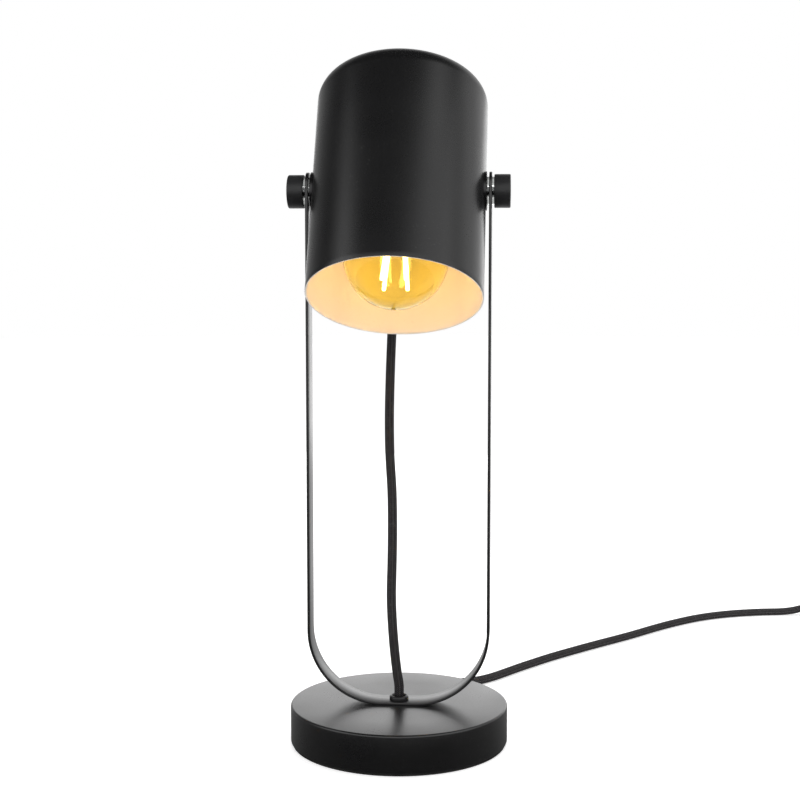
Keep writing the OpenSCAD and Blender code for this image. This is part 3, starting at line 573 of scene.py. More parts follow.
def braid_group():
    """A woven sleeve from the lead's own map: metres along it and turns round it. Painted shade darkens the
    gaps between strands, eight lengthwise grooves and one lay of strands; lint flecks on the strand crowns
    are a lighter copy of the yarn, partly loose fibre and partly painted sheen.
    """
    group, w, given, out = new_group(
        "Braided sleeve",
        [
            ("Yarn", "NodeSocketColor", (0.016, 0.016, 0.016, 1.0)),
            # The gap colour is painted shade in the recesses between strands.
            ("Gap shade", "NodeSocketColor", (0.002, 0.002, 0.002, 1.0)),
            # The fuzz colour, a lighter copy of the yarn, is partly lint and partly painted sheen.
            ("Fuzz and sheen", "NodeSocketColor", (0.05, 0.05, 0.05, 1.0)),
            ("Carriers", "NodeSocketFloat", 16.0),
            ("Lay", "NodeSocketFloat", 0.0010),
        ],
        [("Colour", "NodeSocketColor"), ("Roughness", "NodeSocketFloat"), ("Height", "NodeSocketFloat")],
    )
    along, round_ = braid_axes(w)
    lanes = w.math("MULTIPLY", round_, given.outputs["Carriers"])
    steps = w.math("DIVIDE", along, given.outputs["Lay"])
    right = w.math("MULTIPLY", w.math("ADD", steps, lanes), math.pi)
    left = w.math("MULTIPLY", w.math("SUBTRACT", steps, lanes), math.pi)
    sine_r, sine_l = w.math("SINE", right), w.math("SINE", left)
    on_top = w.math("GREATER_THAN", w.math("MULTIPLY", sine_r, sine_l), 0.0)
    across_r, across_l = w.math("ABSOLUTE", sine_r), w.math("ABSOLUTE", sine_l)
    first = w.math("MULTIPLY", w.math("POWER", across_r, 0.9), w.math("POWER", across_l, 0.4))
    second = w.math("MULTIPLY", w.math("POWER", across_r, 0.4), w.math("POWER", across_l, 0.9))
    crown = w.choose(on_top, first, second)
    ply_r = w.math("SINE", w.math("MULTIPLY", right, 6.0))
    ply_l = w.math("SINE", w.math("MULTIPLY", left, 6.0))
    ply = w.choose(on_top, ply_r, ply_l)
    height = w.math("ADD", crown, w.math("MULTIPLY", ply, 0.08))
    place = w.node("ShaderNodeTexCoord").outputs["Object"]
    lint = w.noise(place, 900.0, 2.0, 0.6)
    # Painted shade: where one lay of strands lies on top, its yarn is painted darker, part way to the gap
    # colour, as if turned from the light.
    lean = w.mix(on_top, w.mix(0.45, given.outputs["Yarn"], given.outputs["Gap shade"]), given.outputs["Yarn"])
    # Painted shade: the yarn darkens to the gap colour towards each strand's edges, in the recesses between
    # strands.
    yarn_and_shade = w.mix(w.spread(crown, 0.25, 0.85), given.outputs["Gap shade"], lean)
    # Painted shade: eight lengthwise grooves round the lead are painted darker, towards the gap colour.
    row_shade = w.math("SINE", w.math("MULTIPLY", round_, 2 * math.pi * 8))
    yarn_and_shade = w.mix(w.spread(row_shade, -0.4, 0.9, 0.45, 0.0), yarn_and_shade, given.outputs["Gap shade"])
    # Lint flecks on the strand crowns, a lighter copy of the yarn: partly loose fibre, partly painted sheen.
    fuzz_and_sheen = w.math("MULTIPLY", w.spread(lint, 0.5, 0.8), crown)
    w.link(w.mix(fuzz_and_sheen, yarn_and_shade, given.outputs["Fuzz and sheen"]), out.inputs["Colour"])
    w.link(w.spread(crown, 0.0, 1.0, 0.95, 0.6), out.inputs["Roughness"])
    w.link(height, out.inputs["Height"])
    return group


def braid_axes(w):
    """The two axes of a lead's own map: metres along and turns round."""
    lead_map = w.node("ShaderNodeUVMap", uv_map="Lead")
    parts = w.node("ShaderNodeSeparateXYZ")
    w.link(lead_map.outputs["UV"], parts.inputs[0])
    return parts.outputs["X"], parts.outputs["Y"]


def new_material(name):
    material = bpy.data.materials.new(name)
    material.use_nodes = True
    wiring = Wiring(material.node_tree)
    shader = next(n for n in material.node_tree.nodes if n.type == "BSDF_PRINCIPLED")
    output = next(n for n in material.node_tree.nodes if n.type == "OUTPUT_MATERIAL")
    return material, wiring, shader, output


def rgba(colour):
    return (*colour, 1.0)


def lighter(colour, share):
    """A colour moved towards white by a share."""
    return tuple(c + (1 - c) * share for c in colour)


def grouped(name, group, values, bump, distance, sockets):
    """A material whose colour, roughness and bump come from a node group."""
    material, w, shader, _ = new_material(name)
    use = w.node("ShaderNodeGroup", node_tree=group)
    for label, value in values.items():
        use.inputs[label].default_value = value
    w.link(use.outputs["Colour"], shader.inputs["Base Color"])
    w.link(use.outputs["Roughness"], shader.inputs["Roughness"])
    dent = w.node("ShaderNodeBump")
    dent.inputs["Strength"].default_value = bump
    dent.inputs["Distance"].default_value = distance
    w.link(use.outputs["Height"], dent.inputs["Height"])
    w.link(dent.outputs["Normal"], shader.inputs["Normal"])
    for label, value in sockets.items():
        shader.inputs[label].default_value = value
    return material


def clear_to_light(material, w, shader, output, tint):
    """Lets lamp light through glass without tracing it, so that the bulb lights the shade."""
    path = w.node("ShaderNodeLightPath")
    through = w.node("ShaderNodeBsdfTransparent")
    through.inputs["Color"].default_value = rgba(tint)
    mixer = w.node("ShaderNodeMixShader")
    w.link(w.math("MAXIMUM", path.outputs["Is Shadow Ray"], path.outputs["Is Diffuse Ray"]), mixer.inputs[0])
    w.link(shader.outputs[0], mixer.inputs[1])
    w.link(through.outputs[0], mixer.inputs[2])
    w.link(mixer.outputs[0], output.inputs["Surface"])
    return material


def glass_material(name, tint, shadow_tint=None):
    """Drawn glass, faintly streaked, that light passes without being traced."""
    material, w, shader, output = new_material(name)
    place = w.node("ShaderNodeTexCoord").outputs["Object"]
    drawn = w.spread(w.noise(place, 38.0, 2.0, 0.4), 0.35, 0.65)
    w.link(w.mix(drawn, rgba(tint), rgba(lighter(tint, 0.12))), shader.inputs["Base Color"])
    shader.inputs["Roughness"].default_value = 0.0
    shader.inputs["IOR"].default_value = 1.46
    shader.inputs["Transmission Weight"].default_value = 1.0
    return clear_to_light(material, w, shader, output, shadow_tint or lighter(tint, 0.6))


def clear_plastic(name, tint):
    """Smoky clear plastic, a little cloudy."""
    material, w, shader, _ = new_material(name)
    place = w.node("ShaderNodeTexCoord").outputs["Object"]
    cloud = w.noise(place, 160.0, 2.0, 0.5)
    milky = w.spread(cloud, 0.35, 0.7)
    w.link(w.mix(milky, rgba(tint), rgba(lighter(tint, 0.15))), shader.inputs["Base Color"])
    w.link(w.spread(cloud, 0.3, 0.7, 0.08, 0.16), shader.inputs["Roughness"])
    shader.inputs["Transmission Weight"].default_value = 1.0
    shader.inputs["IOR"].default_value = 1.49
    return material


def glowing(name, colour, strength):
    """A lit stick, grainy with phosphor."""
    material, w, shader, _ = new_material(name)
    place = w.node("ShaderNodeTexCoord").outputs["Object"]
    grains = w.spread(w.noise(place, 700.0, 2.0, 0.5), 0.3, 0.7)
    lit = w.mix(grains, rgba(colour), rgba(lighter(colour, 0.35)))
    w.link(lit, shader.inputs["Base Color"])
    w.link(lit, shader.inputs["Emission Color"])
    shader.inputs["Emission Strength"].default_value = strength
    shader.inputs["Roughness"].default_value = 0.5
    return material


def make_materials():
    """Every finish of the lamp, by name."""
    f = bpy.context.scene.lamp_finishes
    coat, grain, metal, braid = powder_coat_group(), moulded_group(), metal_group(), braid_group()

    def coated(name, colour, dust, gloss, scale, bump, sockets):
        given = {"Colour": rgba(colour), "Dust": rgba(dust), "Gloss": gloss, "Grain scale": scale}
        return grouped(name, coat, given, bump, 0.0004, sockets)

    def moulded(name, colour, worn, gloss, scale, bump, distance, sockets):
        given = {"Colour": rgba(colour), "Worn": rgba(worn), "Gloss": gloss, "Grain scale": scale}
        return grouped(name, grain, given, bump, distance, sockets)

    def worked(name, colour, stain, gloss, stretch):
        given = {"Colour": rgba(colour), "Stain": rgba(stain), "Gloss": gloss, "Stretch": (1.0, 1.0, stretch)}
        return grouped(name, metal, given, 0.05, 0.0002, {"Metallic": 1.0})

    yarn_and_shade = {
        # The gap colour, a darker copy of the yarn, is painted shade; the fuzz colour is partly lint and
        # partly painted sheen.
        "Yarn": rgba(f.textile), "Gap shade": rgba([c * 0.12 for c in f.textile]),
        "Fuzz and sheen": rgba(lighter(f.textile, 0.03)), "Carriers": 12.0, "Lay": 0.0015,
    }
    return {
        "black_paint": coated(
            "Black powder coat", f.paint, lighter(f.paint, 0.035), gloss=0.29, scale=1100.0, bump=0.06,
            sockets={"IOR": 1.5, "Specular IOR Level": 0.55},
        ),
        "foot_paint": coated(
            "Black powder coat of the foot", f.paint, lighter(f.paint, 0.04), gloss=0.30, scale=900.0,
            bump=0.05, sockets={"IOR": 1.5, "Specular IOR Level": 0.8},
        ),
        "white_enamel": coated(
            "White coat inside the shade", f.enamel, (0.7, 0.68, 0.62), gloss=0.45, scale=900.0, bump=0.08,
            sockets={"IOR": 1.45},
        ),
        "cast_iron": moulded(
            "Cast iron", f.iron, lighter(f.iron, 0.08), gloss=0.68, scale=500.0, bump=0.35, distance=0.001,
            sockets={"Metallic": 0.6},
        ),
        "zinc_steel": worked("Zinc plated steel", f.zinc, (0.30, 0.30, 0.33), gloss=0.32, stretch=9.0),
        "brass": worked("Turned brass", f.brass, (0.34, 0.22, 0.08), gloss=0.26, stretch=14.0),
        "cap_metal": worked(
            "Nickel plated cap", (0.60, 0.56, 0.47), (0.32, 0.28, 0.2), gloss=0.24, stretch=10.0
        ),
        "black_plastic": moulded(
            "Black moulded plastic", f.plastic, lighter(f.plastic, 0.015), gloss=0.44, scale=1500.0,
            bump=0.10, distance=0.0003, sockets={"IOR": 1.47},
        ),
        "holder_plastic": moulded(
            "Heat-proof moulding", (0.02, 0.02, 0.021), (0.035, 0.034, 0.033), gloss=0.36, scale=900.0,
            bump=0.04, distance=0.0003, sockets={"IOR": 1.5},
        ),
        "rocker_plastic": moulded(
            "Rocker moulding", (0.028, 0.028, 0.03), (0.05, 0.05, 0.05), gloss=0.25, scale=1200.0,
            bump=0.03, distance=0.0003, sockets={"IOR": 1.5},
        ),
        "pad_rubber": moulded(
            "Foam rubber pad", f.rubber, lighter(f.rubber, 0.03), gloss=0.85, scale=700.0, bump=0.5,
            distance=0.0006, sockets={"IOR": 1.4},
        ),
        "ceramic": moulded(
            "Glazed ceramic", f.ceramic, (0.6, 0.57, 0.5), gloss=0.22, scale=300.0, bump=0.05,
            distance=0.0005, sockets={"IOR": 1.52, "Coat Weight": 0.4},
        ),
        "textile": grouped(
            "Black braided sleeve", braid, yarn_and_shade, bump=1.0, distance=0.0006,
            sockets={"Specular IOR Level": 0.06, "IOR": 1.4},
        ),
        "tie_fabric": moulded(
            "Hook and loop tape", (0.02, 0.02, 0.022), (0.06, 0.06, 0.065), gloss=0.9, scale=1300.0,
            bump=0.9, distance=0.0006, sockets={"Sheen Weight": 0.5, "Sheen Roughness": 0.5},
        ),
        "clear_plastic": clear_plastic("Milky clear plastic", f.washer),
        "bulb_glass": glass_material("Amber glass", tuple(f.amber), shadow_tint=(1.0, 0.93, 0.78)),
        "stem_glass": glass_material("Clear stem glass", (0.97, 0.95, 0.9)),
        "filament": glowing("Glowing stick", f.glow, f.glow_strength),
    }


MATERIALS = {}


def finish(name):
    """The material of that name, made with the others when first asked for."""
    if not MATERIALS:
        MATERIALS.update(make_materials())
    return MATERIALS[name]


# ---------------------------------------------------------------------------
# The leads
# ---------------------------------------------------------------------------

# Each lead's centreline in millimetres, as its solids have it.
PENDANT_ROUTE = [
    (0, 0, 32.6), (0, 0, 42), (-1.3, 0.2, 50), (-3.2, 1.2, 65), (-5, 3.2, 84), (-6.2, 5.8, 106),
    (-6, 9.3, 131), (-6.1, 14, 156), (-7, 20, 183), (-9.2, 27, 210), (-10.3, 34.5, 236), (-10.6, 43, 262),
    (-10.5, 52, 288), (-10.2, 61, 312), (-9.4, 70, 336), (-8.2, 78, 360), (-7, 85, 383),
    (-5.8, 90.5, 405), (-4.6, 94, 425), (-3.4, 96, 445), (-2.2, 96.5, 465), (-1.2, 95.8, 482),
    (-0.7, 91.8, 496), (-0.3, 80.8, 506), (0, 67.5, 508.5), (0, 54.9, 504), (0, 46.78, 494.64),
    (0, 43.57, 488.42),
]
MAINS_ROUTE = [
    (0, 104, 10.1), (0.3, 112, 9.4), (2.5, 121, 8), (8, 130, 6.2), (17, 136.5, 4.6), (28, 140, 3.8),
    (40, 143, 3.5), (54, 150, 3.5), (65, 161, 3.5), (75, 174.5, 3.5), (88, 193, 3.5), (101.5, 211, 3.5),
    (115.5, 229, 3.5), (130, 246, 3.5), (145, 263, 3.5), (160, 279.5, 3.5), (175.5, 296, 3.5),
    (191.5, 313.5, 3.5), (208, 333, 3.5), (224.5, 352, 3.5), (242, 370, 3.5), (261, 387, 3.5),
    (282, 401, 3.5), (305, 411.5, 3.5), (329, 418.5, 3.5), (350, 422.3, 3.6), (361, 423.6, 4.8),
    (371, 424, 7.3), (384, 424, 8.5), (388, 424, 8.5),
]
LINK_ROUTE = [
    (438, 424, 8.5), (444, 424, 8.5), (450, 424, 7.8), (456, 424, 6.2), (463, 424, 4.9), (471, 424, 4.6),
]
TAIL_ROUTE = [
    (485, 424, 12.1), (493, 424, 11.8), (502, 424, 10.5), (511, 424, 8.6), (520, 424, 7.2),
    (528, 424, 6.85),
]


def in_metres(route):
    return [Vector(p) * 0.001 for p in route]


def coil_route():
    """The coil: in along the lower layer, up in half a turn, out along the upper layer."""
    cord, flex = bpy.context.scene.lamp_cord, bpy.context.scene.lamp_flex
    turns, pitch, outer = cord.coil_turns, cord.coil_pitch, cord.coil_radius
    centre = Vector((cord.coil_x, flex.line_y - outer, cord.coil_low))
    change, steps = 0.5, 32
    points = []
    for k in range(int((2 * turns + change) * steps) + 1):
        turn = k / steps
        changed = min(change, max(0.0, turn - turns))
        radius = outer - pitch * (min(turn, turns) - max(0.0, turn - turns - change))
        lift = cord.coil_rise * changed / change
        angle = 2 * math.pi * turn
        points.append(centre + Vector((radius * math.sin(angle), radius * math.cos(angle), lift)))
    return points


def eased(route, step):
    """A smooth line through the route's points, a step apart."""
    fine = []
    ends = [route[0] * 2 - route[1], *route, route[-1] * 2 - route[-2]]
    for a, b, c, d in zip(ends, ends[1:], ends[2:], ends[3:]):
        t1 = max((b - a).length, 1e-6) ** 0.5
        t2 = t1 + max((c - b).length, 1e-6) ** 0.5
        t3 = t2 + max((d - c).length, 1e-6) ** 0.5
        for k in range(12):
            t = t1 + (t2 - t1) * k / 12
            p1 = a * ((t1 - t) / t1) + b * (t / t1)
            p2 = b * ((t2 - t) / (t2 - t1)) + c * ((t - t1) / (t2 - t1))
            p3 = c * ((t3 - t) / (t3 - t2)) + d * ((t - t2) / (t3 - t2))
            q1 = p1 * ((t2 - t) / t2) + p2 * (t / t2)
            q2 = p2 * ((t3 - t) / (t3 - t1)) + p3 * ((t - t1) / (t3 - t1))
            fine.append(q1 * ((t2 - t) / (t2 - t1)) + q2 * ((t - t1) / (t2 - t1)))
    fine.append(route[-1])
    lengths = [0.0]
    for p, q in zip(fine, fine[1:]):
        lengths.append(lengths[-1] + (q - p).length)
    count = max(2, round(lengths[-1] / step))
    points, at = [], 0
    for k in range(count + 1):
        want = lengths[-1] * k / count
        while at < len(lengths) - 2 and lengths[at + 1] < want:
            at += 1
        share = (want - lengths[at]) / max(lengths[at + 1] - lengths[at], 1e-9)
        points.append(fine[at].lerp(fine[at + 1], min(1.0, max(0.0, share))))
    return points, lengths[-1]


def lead_tube(name, points, radius, sides):
    """A lead as a mesh tube along its centreline, with a map of metres along and turns round."""
    mesh = bpy.data.meshes.new(name)
    piece = bpy.data.objects.new(name, mesh)
    bpy.context.scene.collection.objects.link(piece)
    work = bmesh.new()
    lead_map = work.loops.layers.uv.new("Lead")
    rings, along, side = [], [0.0], None
    for k, point in enumerate(points):
        heading = (points[min(k + 1, len(points) - 1)] - points[max(k - 1, 0)]).normalized()
        if side is None:
            side = heading.orthogonal().normalized()
        side = (side - heading * side.dot(heading)).normalized()
        other = heading.cross(side)
        if k:
            along.append(along[-1] + (point - points[k - 1]).length)
        angles = [2 * math.pi * j / sides for j in range(sides)]
        spokes = [math.cos(angle) * side + math.sin(angle) * other for angle in angles]
        rings.append([work.verts.new(point + radius * spoke) for spoke in spokes])
    for k in range(len(rings) - 1):
        for j in range(sides):
            after = (j + 1) % sides
            face = work.faces.new((rings[k][j], rings[k][after], rings[k + 1][after], rings[k + 1][j]))
            face.smooth = True
            for loop, u, v in zip(face.loops, (k, k, k + 1, k + 1), (j, j + 1, j + 1, j)):
                loop[lead_map].uv = (along[u], v / sides)
    for ring, flip in ((rings[0], True), (rings[-1], False)):
        work.faces.new(list(reversed(ring)) if flip else ring)
    work.normal_update()
    work.to_mesh(mesh)
    work.free()
    return piece


class LAMP_OT_braid_leads(bpy.types.Operator):
    """Lays the braided lead that hangs behind the shade and the mains lead with its coil"""

    bl_idname = "lamp.braid_leads"
    bl_label = "Braid the Leads"

    def execute(self, context):
        cord = context.scene.lamp_cord
        radius = cord.diameter / 2
        points, length = eased(in_metres(PENDANT_ROUTE), cord.step)
        pendant = lead_tube("pendant_cord", points, radius, cord.sides)
        pendant.data.materials.append(finish("textile"))
        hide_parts("pendant_lead")
        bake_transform(pendant)
        whole = [*in_metres(MAINS_ROUTE), *in_metres(LINK_ROUTE), *coil_route(), *in_metres(TAIL_ROUTE)]
        points, length = eased(whole, cord.step)
        mains = lead_tube("mains_cord", points, radius, cord.sides)
        runs = ("mains_lead", "mains_link", "mains_coil", "mains_tail")
        dress(mains, "base", "textile", finish("textile"), stands_for=runs)
        return {"FINISHED"}


# ---------------------------------------------------------------------------
# The lamp's own pieces
# ---------------------------------------------------------------------------


class LAMP_OT_turn_foot(bpy.types.Operator):
    """Turns the foot's cover and its strain relief"""

    bl_idname = "lamp.turn_foot"
    bl_label = "Turn the Foot"

    def execute(self, context):
        foot = context.scene.lamp_foot
        clear_selection()
        bpy.ops.mesh.primitive_cylinder_add(
            vertices=192, radius=foot.radius, depth=foot.high - foot.low, end_fill_type="NGON",
            location=(0, 0, (foot.high + foot.low) / 2),
        )
        cover = put(new_piece("foot_cover"), (0, 0, (foot.high + foot.low) / 2))
        edit(cover)
        pick(cover, "FACE", lambda f: f.normal.z < -0.9)
        bpy.ops.mesh.delete(type="FACE")
        round_off(cover, level(foot.high), foot.edge, 6)
        pick(cover, "FACE", lambda f: f.normal.z > 0.99 and len(f.verts) > 20)
        for _ in range(2):
            bpy.ops.mesh.inset(thickness=foot.radius * 0.35)
        use_modifier(cover, "SOLIDIFY", thickness=foot.wall, offset=-1.0, use_even_offset=True)
        edit(cover)
        inner = foot.radius - foot.wall / 2
        round_off(cover, lambda e: level(foot.low)(e) and middle(e).xy.length > inner, 0.0004, 2)
        clear_selection()
        dress(smooth(cover), "base", "black_paint", finish("foot_paint"), stands_for=("base_cover",))

        back, tip = foot.radius, node_high("rear_bush").y
        bore, flange, neck, end = 0.0036, 0.0065, 0.0054, 0.0043
        inside, middle_high = back - 0.0019, 0.0101
        rings = [(bore, inside - 0.0012), (flange, inside - 0.0012), (flange, inside), (neck, inside),
                 (neck, back), (flange - 0.0003, back), (flange, back + 0.0003), (flange, back + 0.0012),
                 (flange - 0.0003, back + 0.0015), (neck, back + 0.0018)]
        ribs, first, groove, lip = 6, back + 0.0030, 0.0006, 0.0012
        pitch = (tip - lip - first) / ribs
        for k in range(ribs):
            at = first + pitch * k
            wide = neck + (end - neck) * (at - back) / (tip - back)
            rings += [(wide, at), (wide - groove, at + 0.0002), (wide - groove, at + pitch * 0.42),
                      (wide - 0.0001, at + pitch * 0.48), (wide - 0.0001, at + pitch * 0.9)]
        rings += [(end + 0.0001, tip - lip), (end, tip - 0.0003), (end - 0.0002, tip), (bore, tip)]
        relief = turned("strain_relief", rings, sides=48, close_start=False, close_end=False)
        bridge_rims(relief)
        put(outward(relief), (0, 0, middle_high), (-math.pi / 2, 0, 0))
        dress(smooth(relief, 50), "base", "black_plastic", finish("black_plastic"), stands_for=("rear_bush",))
        return {"FINISHED"}


class LAMP_OT_bend_strap(bpy.types.Operator):
    """Bends the flat bar that carries the shade and sets the bush in its middle"""

    bl_idname = "lamp.bend_strap"
    bl_label = "Bend the Strap"

    def execute(self, context):
        bar = context.scene.lamp_strap
        flat = bar.half_span - bar.bend
        half = bar.width / 2
        clear_selection()
        bpy.ops.mesh.primitive_plane_add(size=1.0, location=(0, 0, 0))
        strip = new_piece("strap_bar")
        strip.scale = (flat, bar.width, 1)
        put(strip, (flat / 2, 0, bar.low))
        edit(strip)
        pick(strip, "EDGE", lambda e: all(v.co.x > flat - 1e-6 for v in e.verts))
        bpy.ops.mesh.spin(steps=40, angle=math.pi / 2, center=(flat, 0, bar.low + bar.bend), axis=(0, 1, 0))
        rise = bar.high - half - (bar.low + bar.bend)
        for step in (rise / 2, rise / 2, half):
            bpy.ops.mesh.extrude_region_move(TRANSFORM_OT_translate={"value": (0, 0, step)})
        pick(strip, "VERT", lambda v: v.co.z > bar.high - 1e-6)
        bpy.ops.mesh.bevel(offset=half * 0.999, segments=14, affect="VERTICES", offset_type="OFFSET")
        bpy.ops.mesh.select_all(action="SELECT")
        bpy.ops.mesh.normals_make_consistent(inside=False)
        clear_selection()
        if min(strip.data.polygons, key=face_height).normal.z > 0:
            flip(strip)
        use_modifier(
            strip, "MIRROR", use_axis=(True, False, False), use_mirror_merge=True, merge_threshold=1e-5
        )
        use_modifier(strip, "SOLIDIFY", thickness=bar.thickness, offset=-1.0, use_even_offset=True)
        soften(strip, 0.00022, 2, 50)
        dress(smooth(strip), "base", "black_paint", finish("foot_paint"), stands_for=("strap",))

        top = bar.low + bar.thickness
        outer, brim, mouth, edge = node_high("gland_bush").x, node_high("gland_bush").z, 0.0042, 0.0012
        rings = [(mouth, top + 0.0004), (outer - 0.0002, top), (outer, top + 0.0003), (outer, brim - 0.0014)]
        rings += quarter(outer - edge, brim - edge, edge, 0, 100, 7)
        rings += [(mouth + 0.0010, brim - 0.0004), (mouth + 0.0005, brim - 0.0012), (mouth, brim - 0.0022)]
        bush = turned("strap_bush", rings, sides=72, close_start=False, close_end=False)
        bridge_rims(bush)
        smooth(outward(bush), 40)
        dress(bush, "base", "black_plastic", finish("holder_plastic"), stands_for=("gland_bush",))
        return {"FINISHED"}


class LAMP_OT_spin_shade(bpy.types.Operator):
    """Spins the deep can of the shade, black outside and white inside"""

    bl_idname = "lamp.spin_shade"
    bl_label = "Spin the Shade"

    def execute(self, context):
        shade = context.scene.lamp_shade
        rings = [(shade.radius, -shade.mouth), (shade.radius, -shade.mouth + 0.004), (shade.radius, -0.03),
                 (shade.radius, 0.03)]
        rings += quarter(shade.radius - shade.edge, shade.end - shade.edge, shade.edge, 0, 90, 16)
        rings += [(0.03, shade.end), (0.0052, shade.end)]
        can = turned("shade_can", rings, sides=192, close_start=False, close_end=False)
        if max(can.data.polygons, key=face_height).normal.z < 0:
            flip(can)
        for material in (finish("black_paint"), finish("white_enamel")):
            can.data.materials.append(material)
        use_modifier(
            can, "SOLIDIFY", thickness=shade.wall, offset=-1.0, use_even_offset=True, material_offset=1,
            material_offset_rim=1,
        )
        edit(can)
        round_off(can, level(-shade.mouth), shade.wall * 0.35, 3)
        clear_selection()
        put_on_shade(smooth(can, 35))
        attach(can, "shade")
        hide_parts("shade_shell")
        return {"FINISHED"}


class LAMP_OT_turn_knobs(bpy.types.Operator):
    """Turns the two clamping knobs"""

    bl_idname = "lamp.turn_knobs"
    bl_label = "Turn the Knobs"

    def execute(self, context):
        knob = context.scene.lamp_knob
        length, radius, edge = knob.outer - knob.inner, knob.radius, knob.edge
        rings = [(0.0051, 0.0), (radius - 0.0005, 0.0), (radius - 0.00015, 0.00015), (radius, 0.0005)]
        rings += quarter(radius - edge, length - edge, edge, 0, 90, 8)
        rings += [(radius * 0.72, length), (radius * 0.69, length - 0.0002), (radius * 0.66, length - 0.0006),
                  (radius * 0.60, length - 0.0008), (0.004, length - 0.0008), (0.0, length - 0.0008)]
        right = turned("clamp_knob_right", rings, sides=96, close_start=False)
        edit(right)
        pick(right, "EDGE", lambda e: e.is_boundary)
        bpy.ops.mesh.extrude_region_move(TRANSFORM_OT_translate={"value": (0, 0, length * 0.8)})
        bpy.ops.mesh.edge_face_add()
        clear_selection()
        smooth(outward(right), 35)
        put(right, (knob.inner, 0, context.scene.lamp_shade.pivot), (0, math.pi / 2, 0))
        left = copy_across(right, "clamp_knob_left")
        smooth(left, 35)
        dress(right, "knob_right", "black_plastic", finish("black_plastic"), stands_for=("knob_right",))
        dress(left, "knob_left", "black_plastic", finish("black_plastic"), stands_for=("knob_left",))
        return {"FINISHED"}


class LAMP_OT_blow_bulb(bpy.types.Operator):
    """Blows the amber globe and hangs the glowing sticks in it"""

    bl_idname = "lamp.blow_bulb"
    bl_label = "Blow the Bulb"

    def execute(self, context):
        bulb = context.scene.lamp_bulb
        radius, centre = bulb.globe, -bulb.reach
        neck_share = 0.66
        first = math.degrees(math.acos(neck_share))
        rings = [(0.0127, 0.0034), (0.0127, -0.0025), (0.0131, -0.0045), (0.0143, -0.0075),
                 (0.0158, -0.0108), (0.0177, -0.0144), (0.0202, -0.0180), (0.0226, -0.0220)]
        rings += quarter(0.0, centre, radius, first - 3, -84, 44)
        rings += [(radius * 0.05, centre - radius * 0.9987), (0.0, centre - radius)]
        globe = turned("bulb_globe", rings, sides=128, close_start=False)
        if min(globe.data.polygons, key=face_height).normal.z > 0:
            flip(globe)
        use_modifier(globe, "SOLIDIFY", thickness=bulb.glass, offset=-1.0, use_even_offset=True)
        smooth(globe, 60)
        put_on_shade(globe)
        dress(globe, "bulb", "bulb_glass", finish("bulb_glass"), stands_for=("bulb_glass",))

        top = Vector((bulb.spread_high, 0, -bulb.stick_high))
        bottom = Vector((bulb.spread_low, 0, -bulb.stick_low))
        length, thick = (top - bottom).length, bulb.stick
        lean = math.atan2(bottom.x - top.x, top.z - bottom.z)
        rings = [(thick * 0.6, 0.0), (thick * 0.9, 0.0003), (thick, 0.0008), (thick, length - 0.0008),
                 (thick * 0.9, length - 0.0003), (thick * 0.6, length)]
        mast_foot = Vector((0.0004, 0, -0.0250))
        sticks, wires = [], []
        for k in range(4):
            stick = turned(f"stick_{k}", rings, sides=20)
            put(stick, tuple(bottom), (0, -lean, 0))
            sticks.append(put(stick, (0, 0, 0), (0, 0, math.radians(45 + 90 * k))))
            start = top - Vector((0, 0, 0.0004))
            run = mast_foot - start
            wire = turned(f"wire_{k}", [(0.0003, share * run.length) for share in (0, 0.5, 1)], sides=10)
            put(wire, tuple(start), (0, math.atan2(run.x, run.z), 0))
            wires.append(put(wire, (0, 0, 0), (0, 0, math.radians(45 + 90 * k))))
        rings = [(0.0008, -0.0255), (0.0009, -0.0252), (0.0009, -0.0222), (0.0007, -0.0220)]
        mast = turned("mast", rings, sides=16)
        for name, parts in (("bulb_sticks", sticks), ("bulb_wires", [*wires, mast])):
            clear_selection()
            for part in parts:
                part.select_set(True)
            bpy.context.view_layer.objects.active = parts[0]
            bpy.ops.object.join()
            piece = new_piece(name)
            put_on_shade(smooth(piece, 40))
            dress(piece, "bulb", "filament", finish("filament" if name == "bulb_sticks" else "zinc_steel"),
                  stands_for=("bulb_filament",))
        return {"FINISHED"}


def rounded_box(name, size, corner, sides=10):
    """A box standing on z 0 with its upright edges rounded."""
    clear_selection()
    bpy.ops.mesh.primitive_cube_add(size=1.0, location=(0, 0, 0))
    box = new_piece(name)
    box.scale = size
    put(box, (0, 0, size[2] / 2))
    edit(box)
    round_off(box, lambda e: abs(e.verts[0].co.z - e.verts[1].co.z) > size[2] / 2, corner, sides)
    clear_selection()
    return box


